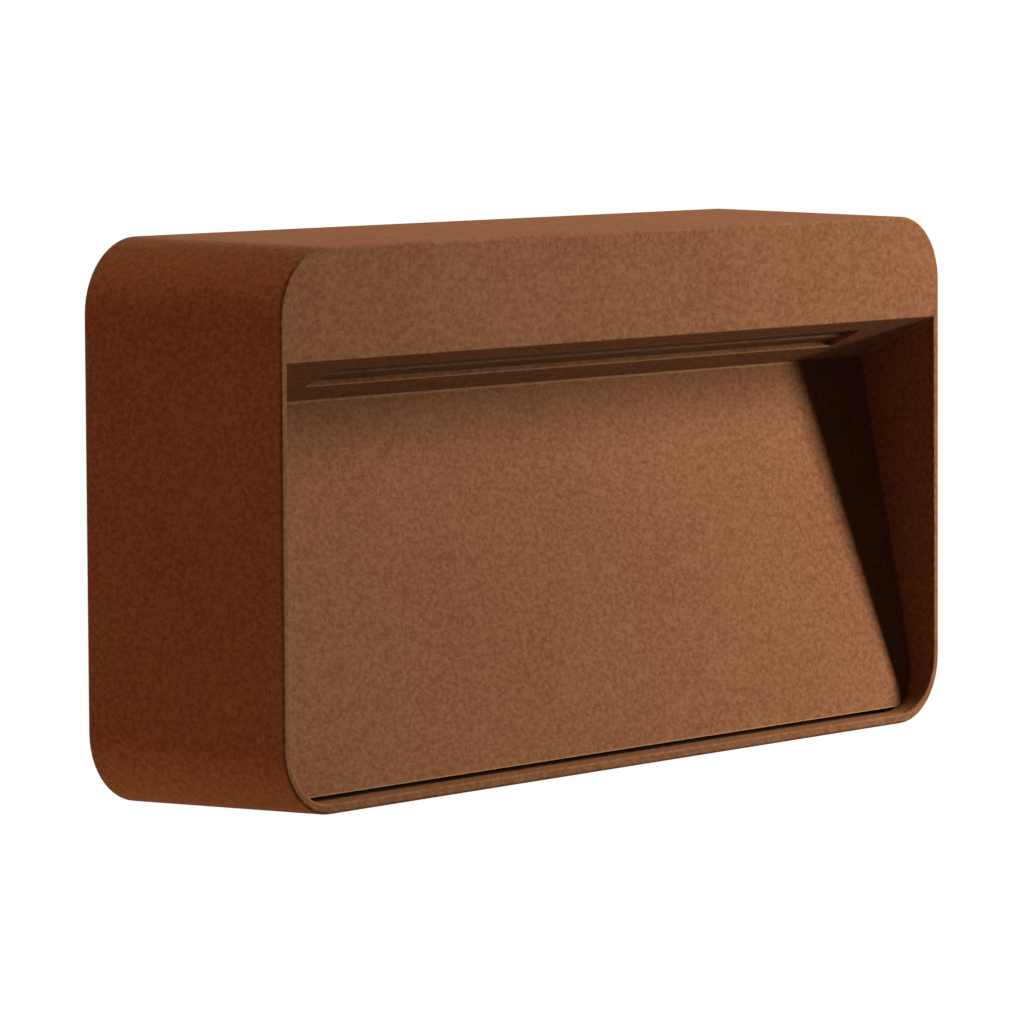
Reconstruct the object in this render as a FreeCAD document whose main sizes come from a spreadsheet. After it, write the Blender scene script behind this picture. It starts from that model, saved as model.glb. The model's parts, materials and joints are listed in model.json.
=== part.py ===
import FreeCAD, Part
import math
import os
import Sketcher

# A wall-mounted step light. A die-cast housing slides over a wall plate and is locked by two grub screws.
# The housing's head holds a sealed lamp chamber: an LED strip shines through a glass slot in the sloped
# ceiling of a wedge-shaped recess, onto a slanted panel. The mains side stays on the wall plate.
#
# +Z is up and +X is to the right of a person who faces the light. The wall is the plane y = 0, and the light
# stands out from it towards -Y. "Out" is always a distance from the wall, so y = -out.

SIZES = {
    # housing
    "front_width": 220.0,
    "front_height": 110.0,
    "depth": 50.0,
    "side_draft": 1.0,            # each side grows this much from the front to the wall
    "front_corner": 14.0,         # corner radius at the front
    "wall": 2.0,
    "rear_gap": 0.5,              # back edge of the housing to the wall
    "edge_round": 0.7,            # outer front edge
    "rim_round": 0.4,             # inner edge of the recess's rim
    "fit_gap": 0.3,               # clearance of pieces that slide into or over one another
    # head and lamp chamber
    "band_height": 22.0,
    "ceiling_depth": 19.8,        # front to the deepest line of the recess
    "ceiling_drop": 9.2,          # how far the ceiling falls on the way
    "head_depth": 24.0,
    "band_wall": 2.2,
    "chamber_wall": 5.0,
    "web": 2.5,                   # thickness of the sloped ceiling
    "slot_margin": 22.0,          # side of the front to the slot's end
    "slot_width": 9.2,
    "slot_middle": 9.6,           # along the slope, from its front edge
    "slot_corner": 1.0,
    "chamber_corner": 6.0,
    # recess panel
    "foot_depth": 4.4,            # front to the panel's foot
    "drain_gap": 1.1,             # foot to the bottom wall
    "panel_thickness": 2.0,
    "panel_return": 5.0,
    "rib_thickness": 1.6,
    "rib_height": 3.0,
    "rib_margin": 9.0,
    "rib_spacing": 50.0,
    "panel_boss_radius": 3.4,
    "panel_boss_height": 3.0,
    "panel_boss_inset": 5.0,
    "panel_boss_margin": 14.0,
    "lug_thickness": 4.0,
    "lug_height": 10.0,
    "lug_width": 9.5,
    # window
    "seal_thickness": 0.8,
    "seal_land": 0.5,             # the seal's opening stands back from the slot by this
    "glass_thickness": 3.0,
    "glass_overlap": 1.7,         # glass past the slot, along both edges
    "glass_sink": 1.1,            # the ceiling to the glass's raised middle, which stands in the slot
    "glass_end_overlap": 3.0,
    "clamp_thickness": 1.5,
    "clamp_lip": 1.5,             # clamp over the glass
    "clamp_front": 2.9,
    "clamp_rear": 20.4,
    "clamp_end": 9.0,             # clamp past the slot's end
    "clamp_boss_radius": 2.1,
    "clamp_boss_span": 48.0,
    # lamp board and its carrier
    "lamp_gap": 9.0,              # ceiling to the shelf
    "shelf_thickness": 3.0,
    "shelf_front": 3.5,
    "board_thickness": 1.6,
    "board_width": 10.0,
    "board_end": 4.0,             # board past the slot's end, where its leads are soldered
    "chip_length": 3.5,
    "chip_width": 2.8,
    "chip_height": 0.8,
    "chip_pitch": 7.0,
    "board_screw_offset": 3.4,
    "board_screw_pitch": 49.0,
    "chamber_seal": 1.0,
    "cover_thickness": 3.0,
    "fin_height": 4.0,
    "fin_thickness": 1.6,
    "fin_pitch": 10.0,
    "fin_margin": 8.0,            # fins to the chamber's top
    "fin_rise": 1.2,              # chamber's floor to the fins
    "cover_boss_radius": 3.6,
    "cover_boss_length": 8.0,
    "cover_screw_inset": 4.0,     # the chamber's side and top to the end screws
    "cover_screw_rise": 5.2,      # the chamber's floor to the lower end screws
    "cover_screw_drop": 2.8,      # the chamber's top to the middle screws
    "cover_screw_pitch": 50.0,
    "vent_radius": 4.0,
    "vent_height": 3.0,
    "vent_hole": 2.6,
    # wall plate
    "plate_thickness": 2.0,
    "plate_edge": 1.6,
    "plate_reach": 12.0,          # wall to the flange's free edge
    "gasket_width": 10.0,
    "gasket_thickness": 2.0,
    "slot_spacing": 150.0,
    "screw_slot_width": 5.2,
    "screw_slot_length": 12.0,
    "boss_height": 2.0,
    "boss_radius": 3.6,
    "release_place": 60.0,
    "release_out": 8.6,
    "release_boss_radius": 3.5,
    "release_boss_height": 5.0,
    "release_screw_radius": 2.0,
    "release_sink": 0.6,
    "lock_tab_width": 9.0,
    # driver
    "driver_middle": -18.0,
    "driver_rise": 12.5,          # the plate's lower edge to the driver
    "driver_length": 120.0,
    "driver_tall": 24.0,
    "driver_deep": 18.0,
    "driver_corner": 2.5,
    "driver_lid": 1.5,
    # cable entry
    "entry_side": -12.0,
    "entry_rise": 18.0,           # the driver's top to the entry's middle
    "grommet_bore": 4.0,
    "grommet_radius": 7.0,
    "grommet_flange": 10.0,
    "grommet_height": 3.0,
    # terminal block
    "terminal_middle": 30.0,
    "terminal_drop": 5.0,         # the recess's deepest line to the block's top
    "terminal_tall": 20.0,
    "terminal_deep": 15.0,
    "pole_pitch": 8.0,
    "pole_bore": 1.7,
    "pole_bore_depth": 8.0,
    "lever_width": 5.4,
    "lever_thickness": 2.4,
    "lever_length": 9.5,
    "lever_head": 1.7,
    "lever_pin": 0.8,
    "lever_drop": 2.6,            # the block's top to the levers' pin
    "lever_sink": 1.9,            # the block's front to the levers' pin
    "ear_length": 6.5,
    "ear_height": 8.0,
    "ear_thickness": 3.0,
    # earth point
    "earth_side": -45.0,
    "earth_drop": 11.5,           # the terminal block's top to the earth screw
    "tag_radius": 4.0,
    "tag_thickness": 1.0,
    "tag_barrel": 7.0,
    # plug-in link between plate and housing
    "link_drop": 12.0,            # the chamber's top to the link's middle
    "link_width": 14.0,
    "link_tall": 12.0,
    "plug_height": 4.0,
    "plug_neck": 4.0,
    "link_pin": 0.8,
    "link_pin_length": 8.0,
    "link_pin_pitch": 5.0,
    "link_bore": 1.2,
    # screws and leads
    "screw_radius": 1.5,
    "screw_head": 2.75,
    "screw_head_height": 2.0,
    "screw_bite": 3.2,
    "small_screw_radius": 1.0,
    "small_screw_head": 1.7,
    "small_screw_head_height": 1.2,
    "running_gap": 0.05,          # a pin or a thread in its own hole
    "hole_gap": 0.2,
    "mains_lead": 1.0,
    "lamp_lead": 0.8,
    "lead_bend": 4.0,
}

document = FreeCAD.newDocument("step_light")
sheet = document.addObject("Spreadsheet::Sheet", "sizes")


class Size(float):
    """A number that remembers the cells it was worked out from, as the text of an expression."""

    def __new__(cls, value, text):
        size = super().__new__(cls, value)
        size.text = text
        return size

    def __add__(self, other):
        return Size(float(self) + float(other), f"({self.text} + {text_of(other)})")

    def __radd__(self, other):
        return Size(float(other) + float(self), f"({text_of(other)} + {self.text})")

    def __sub__(self, other):
        return Size(float(self) - float(other), f"({self.text} - {text_of(other)})")

    def __rsub__(self, other):
        return Size(float(other) - float(self), f"({text_of(other)} - {self.text})")

    def __mul__(self, other):
        return Size(float(self) * float(other), f"({self.text} * {text_of(other)})")

    def __rmul__(self, other):
        return Size(float(other) * float(self), f"({text_of(other)} * {self.text})")

    def __truediv__(self, other):
        return Size(float(self) / float(other), f"({self.text} / {text_of(other)})")

    def __neg__(self):
        return Size(-float(self), f"(0 - {self.text})")


def text_of(value):
    """The text that stands for a value in an expression."""
    return getattr(value, "text", repr(float(value)))


def hypotenuse(first, second):
    """The long side of a right triangle, from its two short sides."""
    squares = first * first + second * second
    return Size(math.sqrt(squares), f"sqrt({squares.text})")


class Dimensions:
    """The driving sizes, one attribute for each named cell."""


dim = Dimensions()
for row, (name, value) in enumerate(SIZES.items(), start=1):
    sheet.set(f"A{row}", name)
    sheet.set(f"B{row}", str(value))
    sheet.setAlias(f"B{row}", name)
document.recompute()
for name in SIZES:
    setattr(dim, name, Size(float(sheet.get(name)), f"sizes.{name}"))


# ---- helpers for objects, sketches and features ----

def bind(thing, name, value):
    """Sets a property, and binds it to the cells that its value comes from."""
    if hasattr(value, "text"):
        thing.setExpression(name, value.text)
    elif "." not in name:
        setattr(thing, name, value)


def put(thing, x=0.0, out=0.0, z=0.0, turn=FreeCAD.Rotation()):
    """Places an object at x, at a distance out from the wall and at a height z."""
    thing.Placement = FreeCAD.Placement(FreeCAD.Vector(x, -out, z), turn)
    bind(thing, "Placement.Base.x", x)
    bind(thing, "Placement.Base.y", -out)
    bind(thing, "Placement.Base.z", z)
    return thing


def new_body(name):
    """An empty body with its own name."""
    body = document.addObject("PartDesign::Body", name)
    body.Label = name
    return body


def sketch_on(body, role, lift=0.0):
    """A sketch on one of the body's own origin planes, moved off it along the plane's normal.
    On XZ_Plane the sketch's x is X, its y is Z and its normal points out from the wall."""
    plane = next(feature for feature in body.Origin.OriginFeatures if feature.Role == role)
    sketch = body.newObject("Sketcher::SketchObject", body.Name + "_sketch")
    sketch.AttachmentSupport = [(plane, "")]
    sketch.MapMode = "FlatFace"
    sketch.AttachmentOffset = FreeCAD.Placement(FreeCAD.Vector(0, 0, lift), FreeCAD.Rotation())
    bind(sketch, "AttachmentOffset.Base.z", lift)
    return sketch


def constrain(sketch, *parts):
    """Adds a constraint whose last part is its value, bound to the cells that it comes from."""
    value = parts[-1]
    index = sketch.addConstraint(Sketcher.Constraint(*parts[:-1], float(value)))
    if hasattr(value, "text"):
        sketch.setExpression(f"Constraints[{index}]", value.text)


START, END, CENTRE = range(1, 4)
ORIGIN = -START


def polygon(sketch, points):
    """A closed outline of straight lines through points, each held at its own x and y."""
    corners = [FreeCAD.Vector(x, y, 0) for x, y in points]
    count = len(corners)
    first = sketch.GeometryCount
    for index in range(count):
        sketch.addGeometry(Part.LineSegment(corners[index], corners[(index + 1) % count]), False)
    for index in range(count):
        following = first + (index + 1) % count
        sketch.addConstraint(Sketcher.Constraint("Coincident", first + index, END, following, START))
    for index, (x, y) in enumerate(points):
        constrain(sketch, "DistanceX", ORIGIN, START, first + index, START, x)
        constrain(sketch, "DistanceY", ORIGIN, START, first + index, START, y)


def rectangle(sketch, left, right, low, high):
    """An upright rectangle."""
    polygon(sketch, [(left, low), (right, low), (right, high), (left, high)])


def rounded_rectangle(sketch, left, right, low, high, radius):
    """An upright rectangle whose corners are arcs of one radius."""
    first = sketch.GeometryCount
    ends = [
        ((left + radius, low), (right - radius, low)),
        ((right, low + radius), (right, high - radius)),
        ((right - radius, high), (left + radius, high)),
        ((left, high - radius), (left, low + radius)),
    ]
    for start, end in ends:
        sketch.addGeometry(Part.LineSegment(FreeCAD.Vector(*start, 0), FreeCAD.Vector(*end, 0)), False)
    centres = [
        (right - radius, low + radius),
        (right - radius, high - radius),
        (left + radius, high - radius),
        (left + radius, low + radius),
    ]
    for index, centre in enumerate(centres):
        circle = Part.Circle(FreeCAD.Vector(*centre, 0), FreeCAD.Vector(0, 0, 1), radius)
        begin = math.radians(90 * index - 90)
        sketch.addGeometry(Part.ArcOfCircle(circle, begin, begin + math.radians(90)), False)
    for index in range(4):
        arc = first + 4 + index
        following = first + (index + 1) % 4
        sketch.addConstraint(Sketcher.Constraint("Tangent", first + index, END, arc, START))
        sketch.addConstraint(Sketcher.Constraint("Tangent", arc, END, following, START))
    for index in range(3):
        sketch.addConstraint(Sketcher.Constraint("Equal", first + 4 + index, first + 5 + index))
    for index in (0, 2):
        sketch.addConstraint(Sketcher.Constraint("Horizontal", first + index))
        sketch.addConstraint(Sketcher.Constraint("Vertical", first + index + 1))
    constrain(sketch, "DistanceY", ORIGIN, START, first, START, low)
    constrain(sketch, "DistanceX", ORIGIN, START, first + 1, START, right)
    constrain(sketch, "DistanceY", ORIGIN, START, first + 2, START, high)
    constrain(sketch, "DistanceX", ORIGIN, START, first + 3, START, left)
    constrain(sketch, "Radius", first + 4, radius)


def circle(sketch, x, y, radius):
    """A circle held at x and y."""
    shape = Part.Circle(FreeCAD.Vector(x, y, 0), FreeCAD.Vector(0, 0, 1), radius)
    index = sketch.addGeometry(shape, False)
    constrain(sketch, "DistanceX", ORIGIN, START, index, CENTRE, x)
    constrain(sketch, "DistanceY", ORIGIN, START, index, CENTRE, y)
    constrain(sketch, "Radius", index, radius)


def pad(body, sketch, length, side="One side", backwards=False):
    """Adds material on a sketch, along its normal."""
    feature = body.newObject("PartDesign::Pad", body.Name + "_pad")
    feature.Profile = sketch
    feature.SideType = side
    feature.Reversed = backwards
    bind(feature, "Length", length)
    body.Tip = feature
    return feature


def pocket(body, sketch, length, side="One side", backwards=False):
    """Removes material under a sketch. Without backwards it cuts against the sketch's normal."""
    feature = body.newObject("PartDesign::Pocket", body.Name + "_pocket")
    feature.Profile = sketch
    feature.SideType = side
    feature.Reversed = backwards
    bind(feature, "Length", length)
    body.Tip = feature
    return feature


def revolve(body, sketch):
    """A full turn of a sketch about its own upright axis."""
    feature = body.newObject("PartDesign::Revolution", body.Name + "_revolution")
    feature.Profile = sketch
    feature.ReferenceAxis = (sketch, ["V_Axis"])
    feature.Angle = 360
    body.Tip = feature
    return feature


def box(name, left, right, near, far, low, high):
    """A block from left to right, from near to far out from the wall, and from low to high."""
    block = document.addObject("Part::Box", name)
    bind(block, "Length", right - left)
    bind(block, "Width", far - near)
    bind(block, "Height", high - low)
    return put(block, left, far, low)


def peg(name, x, near, far, z, radius):
    """A cylinder whose axis runs straight out from the wall."""
    cylinder = document.addObject("Part::Cylinder", name)
    bind(cylinder, "Radius", radius)
    bind(cylinder, "Height", far - near)
    return put(cylinder, x, near, z, FreeCAD.Rotation(FreeCAD.Vector(1, 0, 0), 90))


def post(name, x, out, low, high, radius):
    """A cylinder whose axis is upright."""
    cylinder = document.addObject("Part::Cylinder", name)
    bind(cylinder, "Radius", radius)
    bind(cylinder, "Height", high - low)
    return put(cylinder, x, out, low)


def join(name, *pieces):
    """One solid from pieces that touch."""
    fusion = document.addObject("Part::MultiFuse", name)
    fusion.Shapes = list(pieces)
    fusion.Refine = True
    return fusion


def take(name, base, *tools):
    """A base with tools cut out of it."""
    tool = tools[0] if len(tools) == 1 else join(name + "_tools", *tools)
    difference = document.addObject("Part::Cut", name)
    difference.Base = base
    difference.Tool = tool
    difference.Refine = True
    return difference


def shared(name, first, second):
    """What two solids have in common."""
    common = document.addObject("Part::Common", name)
    common.Base = first
    common.Tool = second
    common.Refine = True
    return common


def group(name, pieces):
    """Separate solids kept together under one name."""
    compound = document.addObject("Part::Compound", name)
    compound.Links = pieces
    return compound


# ---- where things are ----

def spread(out):
    """How much further out each side of the housing is, this far from the wall, than at its front."""
    return dim.side_draft * (dim.depth - out) / dim.depth


def half_width(out, inset=0.0):
    return dim.front_width / 2 + spread(out) - inset


def half_height(out, inset=0.0):
    return dim.front_height / 2 + spread(out) - inset


def corner(out, inset=0.0):
    return dim.front_corner + spread(out) - inset


def outline(sketch, out, inset=0.0):
    """The housing's rounded outline at a distance from the wall, drawn in by an inset."""
    wide = half_width(out, inset)
    tall = half_height(out, inset)
    rounded_rectangle(sketch, -wide, wide, -tall, tall, corner(out, inset))


def tapered_block(name, inset, near, far):
    """A solid with the housing's drafted outline, drawn in by an inset, from near to far out."""
    body = new_body(name)
    sketches = []
    for out in (near, far):
        sketch = sketch_on(body, "XZ_Plane", out)
        outline(sketch, out, inset)
        sketches.append(sketch)
    loft = body.newObject("PartDesign::AdditiveLoft", name + "_loft")
    loft.Profile = sketches[0]
    loft.Sections = [sketches[1]]
    loft.Ruled = True
    body.Tip = loft
    return body


def long_bar(name, length, points):
    """A bar along X, centred, whose section is given as (out, z) points."""
    body = new_body(name)
    sketch = sketch_on(body, "YZ_Plane")
    polygon(sketch, [(-out, z) for out, z in points])
    pad(body, sketch, length, side="Symmetric")
    return body


band_low = dim.front_height / 2 - dim.band_height
slope_length = hypotenuse(dim.ceiling_depth, dim.ceiling_drop)
slope_run = dim.ceiling_depth / slope_length
slope_fall = dim.ceiling_drop / slope_length
deep_out = dim.depth - dim.ceiling_depth
deep_z = band_low - dim.ceiling_drop
head_rear = dim.depth - dim.head_depth

chamber_floor = deep_z + dim.web / slope_run
chamber_top = half_height(dim.depth, dim.chamber_wall)
chamber_side = half_width(dim.depth, dim.chamber_wall)
half_slot = dim.front_width / 2 - dim.slot_margin
link_side = half_slot
link_z = chamber_top - dim.link_drop

# The ceiling's own frame: x along the light, y down the slope towards the wall, z up off the ceiling.
ceiling_turn = FreeCAD.Rotation(
    FreeCAD.Vector(1, 0, 0), -math.degrees(math.atan2(dim.ceiling_drop, dim.ceiling_depth)))


def on_ceiling(along, above):
    """(out, z) of a point this far down the slope and this far above it."""
    out = dim.depth - slope_run * along - slope_fall * above
    z = band_low - slope_fall * along + slope_run * above
    return out, z


def lay_on_ceiling(thing, x=0.0, along=0.0, above=0.0):
    """Places an object that was made flat in the ceiling's own frame."""
    out, z = on_ceiling(along, above)
    return put(thing, x, out, z, ceiling_turn)


def flat_plate(name, left, right, low, high, thickness, hole=None):
    """A rectangular plate lying on the XY plane, with a rectangular hole if its limits are given."""
    body = new_body(name)
    sketch = sketch_on(body, "XY_Plane")
    rectangle(sketch, left, right, low, high)
    if hole:
        rectangle(sketch, *hole)
    pad(body, sketch, thickness)
    return body


# The panel's own frame: x along the light, y up the panel's face, z forward off the face.
foot_out = dim.depth - dim.foot_depth
foot_z = dim.drain_gap - half_height(foot_out, dim.wall)
panel_top_z = deep_z - dim.fit_gap
panel_run = foot_out - deep_out
panel_rise = panel_top_z - foot_z
panel_length = hypotenuse(panel_run, panel_rise)
panel_turn = FreeCAD.Rotation(FreeCAD.Vector(1, 0, 0), math.degrees(math.atan2(panel_rise, panel_run)))


def on_panel(up, forward):
    """(out, z) of a point this far up the panel's face and this far in front of it."""
    out = foot_out - panel_run / panel_length * up + panel_rise / panel_length * forward
    z = foot_z + panel_rise / panel_length * up + panel_run / panel_length * forward
    return out, z


def lay_on_panel(thing, x=0.0, up=0.0, forward=0.0):
    """Places an object that was made flat in the panel's own frame."""
    out, z = on_panel(up, forward)
    return put(thing, x, out, z, panel_turn)


def screw(name, radius, length, head_radius, head_height):
    """A pan-head screw. Its head stands on the XY plane and its shank hangs below it."""
    body = new_body(name)
    sketch = sketch_on(body, "XZ_Plane")
    polygon(sketch, [
        (0.0, -length),
        (radius, -length),
        (radius, 0.0),
        (head_radius, 0.0),
        (head_radius, head_height),
        (0.0, head_height),
    ])
    revolve(body, sketch)
    return body


def main_screw(name, length):
    """One of the larger screws, with this much of it below its head."""
    return screw(name, dim.screw_radius, length, dim.screw_head, dim.screw_head_height)


def small_screw(name, length):
    """One of the smaller screws, with this much of it below its head."""
    return screw(name, dim.small_screw_radius, length, dim.small_screw_head, dim.small_screw_head_height)


FACING_FRONT = FreeCAD.Rotation(FreeCAD.Vector(1, 0, 0), 90)
FACING_WALL = FreeCAD.Rotation(FreeCAD.Vector(1, 0, 0), -90)


# ---- housing ----

def front_edges(shape, inset=0.0):
    """The numbers of the edges in the front plane that lie within the outline drawn in by an inset."""
    near_enough = dim.rim_round / 10
    side = half_width(dim.depth, inset) + near_enough
    top = half_height(dim.depth, inset) + near_enough
    found = []
    for number, edge in enumerate(shape.Edges, start=1):
        bounds = edge.BoundBox
        flush = bounds.YMax + dim.depth < near_enough
        if flush and max(bounds.XMax, -bounds.XMin) < side and max(bounds.ZMax, -bounds.ZMin) < top:
            found.append(number)
    return found


def make_housing():
    outside = tapered_block("housing_outside", 0.0, dim.rear_gap, dim.depth)
    document.recompute()
    face_edges = [f"Edge{number}" for number in front_edges(outside.Shape)]
    loft = outside.Tip
    rounding = outside.newObject("PartDesign::Fillet", "housing_front_edge")
    rounding.Base = (loft, face_edges)
    bind(rounding, "Radius", dim.edge_round)
    outside.Tip = rounding

    margin = dim.wall
    inside = tapered_block("housing_inside", dim.wall, dim.rear_gap - margin, dim.depth + margin)
    top = half_height(head_rear, -margin)
    head = long_bar("housing_head", dim.front_width + 4 * margin, [
        (dim.depth + 2 * margin, band_low + 2 * margin * dim.ceiling_drop / dim.ceiling_depth),
        (deep_out, deep_z),
        (head_rear, deep_z),
        (head_rear, top),
        (dim.depth + 2 * margin, top),
    ])
    recess = take("housing_recess", inside, head)
    shell = take("housing_shell", outside, recess)
    document.recompute()
    rim = document.addObject("Part::Fillet", "housing_rim")
    rim.Base = shell
    inner_edges = front_edges(shell.Shape, (dim.edge_round + dim.wall) / 2)
    rim.Edges = [(number, float(dim.rim_round), float(dim.rim_round)) for number in inner_edges]

    # lamp chamber, open to the rear
    front_z = chamber_floor + (dim.ceiling_depth - dim.band_wall) * dim.ceiling_drop / dim.ceiling_depth
    hollow = long_bar("chamber_section", dim.front_width, [
        (dim.depth - dim.band_wall, front_z),
        (deep_out, chamber_floor),
        (head_rear - margin, chamber_floor),
        (head_rear - margin, chamber_top),
        (dim.depth - dim.band_wall, chamber_top),
    ])
    cavity = new_body("chamber_outline")
    sketch = sketch_on(cavity, "XZ_Plane", head_rear - margin)
    rounded_rectangle(sketch, -chamber_side, chamber_side, -chamber_top, chamber_top, dim.chamber_corner)
    pad(cavity, sketch, dim.head_depth + margin - dim.band_wall)
    chamber = shared("chamber", hollow, cavity)

    # window slot and the pillars that the clamp is screwed to
    slot = new_body("window_slot")
    sketch = sketch_on(slot, "XY_Plane", -dim.web)
    half_gap = dim.slot_width / 2
    rounded_rectangle(sketch, -half_slot, half_slot, dim.slot_middle - half_gap, dim.slot_middle + half_gap,
                      dim.slot_corner)
    pad(slot, sketch, 3 * dim.web)
    lay_on_ceiling(slot)

    additions = []
    drillings = [slot]
    for number, (x, along) in enumerate(clamp_points()):
        pillar = document.addObject("Part::Cylinder", f"clamp_pillar_{number}")
        bind(pillar, "Radius", dim.clamp_boss_radius)
        bind(pillar, "Height", clamp_seat() - dim.web / 2)
        additions.append(lay_on_ceiling(pillar, x, along, dim.web / 2))
        drilling = document.addObject("Part::Cylinder", f"clamp_pilot_{number}")
        bind(drilling, "Radius", dim.small_screw_radius + dim.running_gap)
        bind(drilling, "Height", clamp_seat() - dim.web)
        drillings.append(lay_on_ceiling(drilling, x, along, dim.web + dim.running_gap))

    # bosses for the carrier's screws
    for number, (x, z) in enumerate(cover_points()):
        reach = head_rear + dim.cover_boss_length
        additions.append(peg(f"cover_boss_{number}", x, head_rear, reach, z, dim.cover_boss_radius))
        drillings.append(peg(f"cover_pilot_{number}", x, head_rear - margin, reach - dim.wall, z,
                             dim.screw_radius + dim.running_gap))

    # lugs behind the recess panel, on the side walls
    for number, (x, up) in enumerate(panel_points()):
        side = 1 if x > 0 else -1
        lug = document.addObject("Part::Box", f"panel_lug_{number}")
        bind(lug, "Length", dim.lug_width + dim.wall / 2)
        bind(lug, "Width", dim.lug_height)
        bind(lug, "Height", dim.lug_thickness)
        low_out = on_panel(up, -lug_seat())[0]
        edge = half_width(low_out, dim.wall)
        left = edge - dim.lug_width if side > 0 else -edge - dim.wall / 2
        additions.append(lay_on_panel(lug, left, up - dim.lug_height / 2, -lug_seat() - dim.lug_thickness))
        drilling = document.addObject("Part::Cylinder", f"panel_lug_hole_{number}")
        bind(drilling, "Radius", dim.screw_radius + dim.hole_gap)
        bind(drilling, "Height", dim.lug_thickness + 2 * dim.wall)
        drillings.append(lay_on_panel(drilling, x, up, -lug_seat() - dim.lug_thickness - dim.wall))

    # threaded bosses for the release screws, in the bottom wall
    bottom = -half_height(dim.release_out)
    for side in (-1, 1):
        x = side * dim.release_place
        name = "left" if side < 0 else "right"
        boss_top = release_boss_top()
        additions.append(post(f"release_boss_{name}", x, dim.release_out, bottom + dim.wall / 2, boss_top,
                              dim.release_boss_radius))
        drillings.append(post(f"release_hole_{name}", x, dim.release_out, bottom - margin, boss_top + margin,
                              dim.release_screw_radius + dim.running_gap))

    hollowed = take("housing_hollowed", rim, chamber)
    built = join("housing_built", hollowed, *additions)
    return take("housing", built, *drillings)


def clamp_seat():
    """Height above the ceiling of the clamp's underside, which is the glass's top."""
    return dim.web + dim.seal_thickness + dim.glass_thickness


def clamp_points():
    """(x, along) of the clamp's screws: one at each end, three along the rear edge."""
    end = half_slot + dim.clamp_end - dim.clamp_boss_radius - dim.fit_gap
    rear = dim.clamp_rear - dim.clamp_boss_radius
    ends = [(-end, dim.slot_middle), (end, dim.slot_middle)]
    return ends + [(step * dim.clamp_boss_span, rear) for step in (-1, 0, 1)]


def cover_points():
    """(x, z) of the carrier's screws: two at each end and three along the top."""
    end = chamber_side - dim.cover_screw_inset
    levels = (chamber_floor + dim.cover_screw_rise, chamber_top - dim.cover_screw_inset)
    ends = [(side * end, z) for side in (-1, 1) for z in levels]
    return ends + [(step * dim.cover_screw_pitch, chamber_top - dim.cover_screw_drop) for step in (-1, 0, 1)]


def lug_seat():
    """How far behind the panel's face its bosses end and the housing's lugs begin."""
    return dim.panel_thickness + dim.panel_boss_height


def panel_points():
    """(x, up) of the panel's screws."""
    x = half_width(dim.depth, dim.wall) - dim.panel_boss_inset
    levels = (dim.panel_boss_margin, panel_length - dim.panel_boss_margin)
    return [(side * x, up) for side in (-1, 1) for up in levels]


def release_boss_top():
    """Height of the top of the release screws' bosses."""
    return dim.wall + dim.release_boss_height - half_height(dim.release_out)


# ---- recess panel ----

def make_recess_panel():
    back = -dim.panel_thickness - dim.panel_return
    inner_top = panel_length - dim.panel_thickness
    section = long_bar("panel_section", dim.front_width, [
        on_panel(0.0, 0.0),
        on_panel(panel_length, 0.0),
        on_panel(panel_length, back),
        on_panel(inner_top, back),
        on_panel(inner_top, -dim.panel_thickness),
        on_panel(0.0, -dim.panel_thickness),
    ])
    limits = tapered_block("panel_limits", dim.wall + dim.fit_gap, dim.plate_reach, dim.depth)
    sheet_metal = shared("panel_sheet", section, limits)

    additions = []
    for step in (-1, 0, 1):
        rib = document.addObject("Part::Box", f"panel_rib_{step + 1}")
        bind(rib, "Length", dim.rib_thickness)
        bind(rib, "Width", panel_length - 2 * dim.rib_margin)
        bind(rib, "Height", dim.rib_height + dim.panel_thickness / 2)
        left = step * dim.rib_spacing - dim.rib_thickness / 2
        additions.append(lay_on_panel(rib, left, dim.rib_margin, -dim.panel_thickness - dim.rib_height))
    pilots = []
    for number, (x, up) in enumerate(panel_points()):
        boss = document.addObject("Part::Cylinder", f"panel_boss_{number}")
        bind(boss, "Radius", dim.panel_boss_radius)
        bind(boss, "Height", dim.panel_boss_height + dim.panel_thickness / 2)
        additions.append(lay_on_panel(boss, x, up, -lug_seat()))
        pilot = document.addObject("Part::Cylinder", f"panel_pilot_{number}")
        bind(pilot, "Radius", dim.screw_radius + dim.running_gap)
        bind(pilot, "Height", dim.panel_boss_height + dim.panel_thickness)
        pilots.append(lay_on_panel(pilot, x, up, -lug_seat() - dim.panel_thickness / 2))
    return take("recess_panel", join("panel_built", sheet_metal, *additions), *pilots)


# ---- window ----

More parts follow.
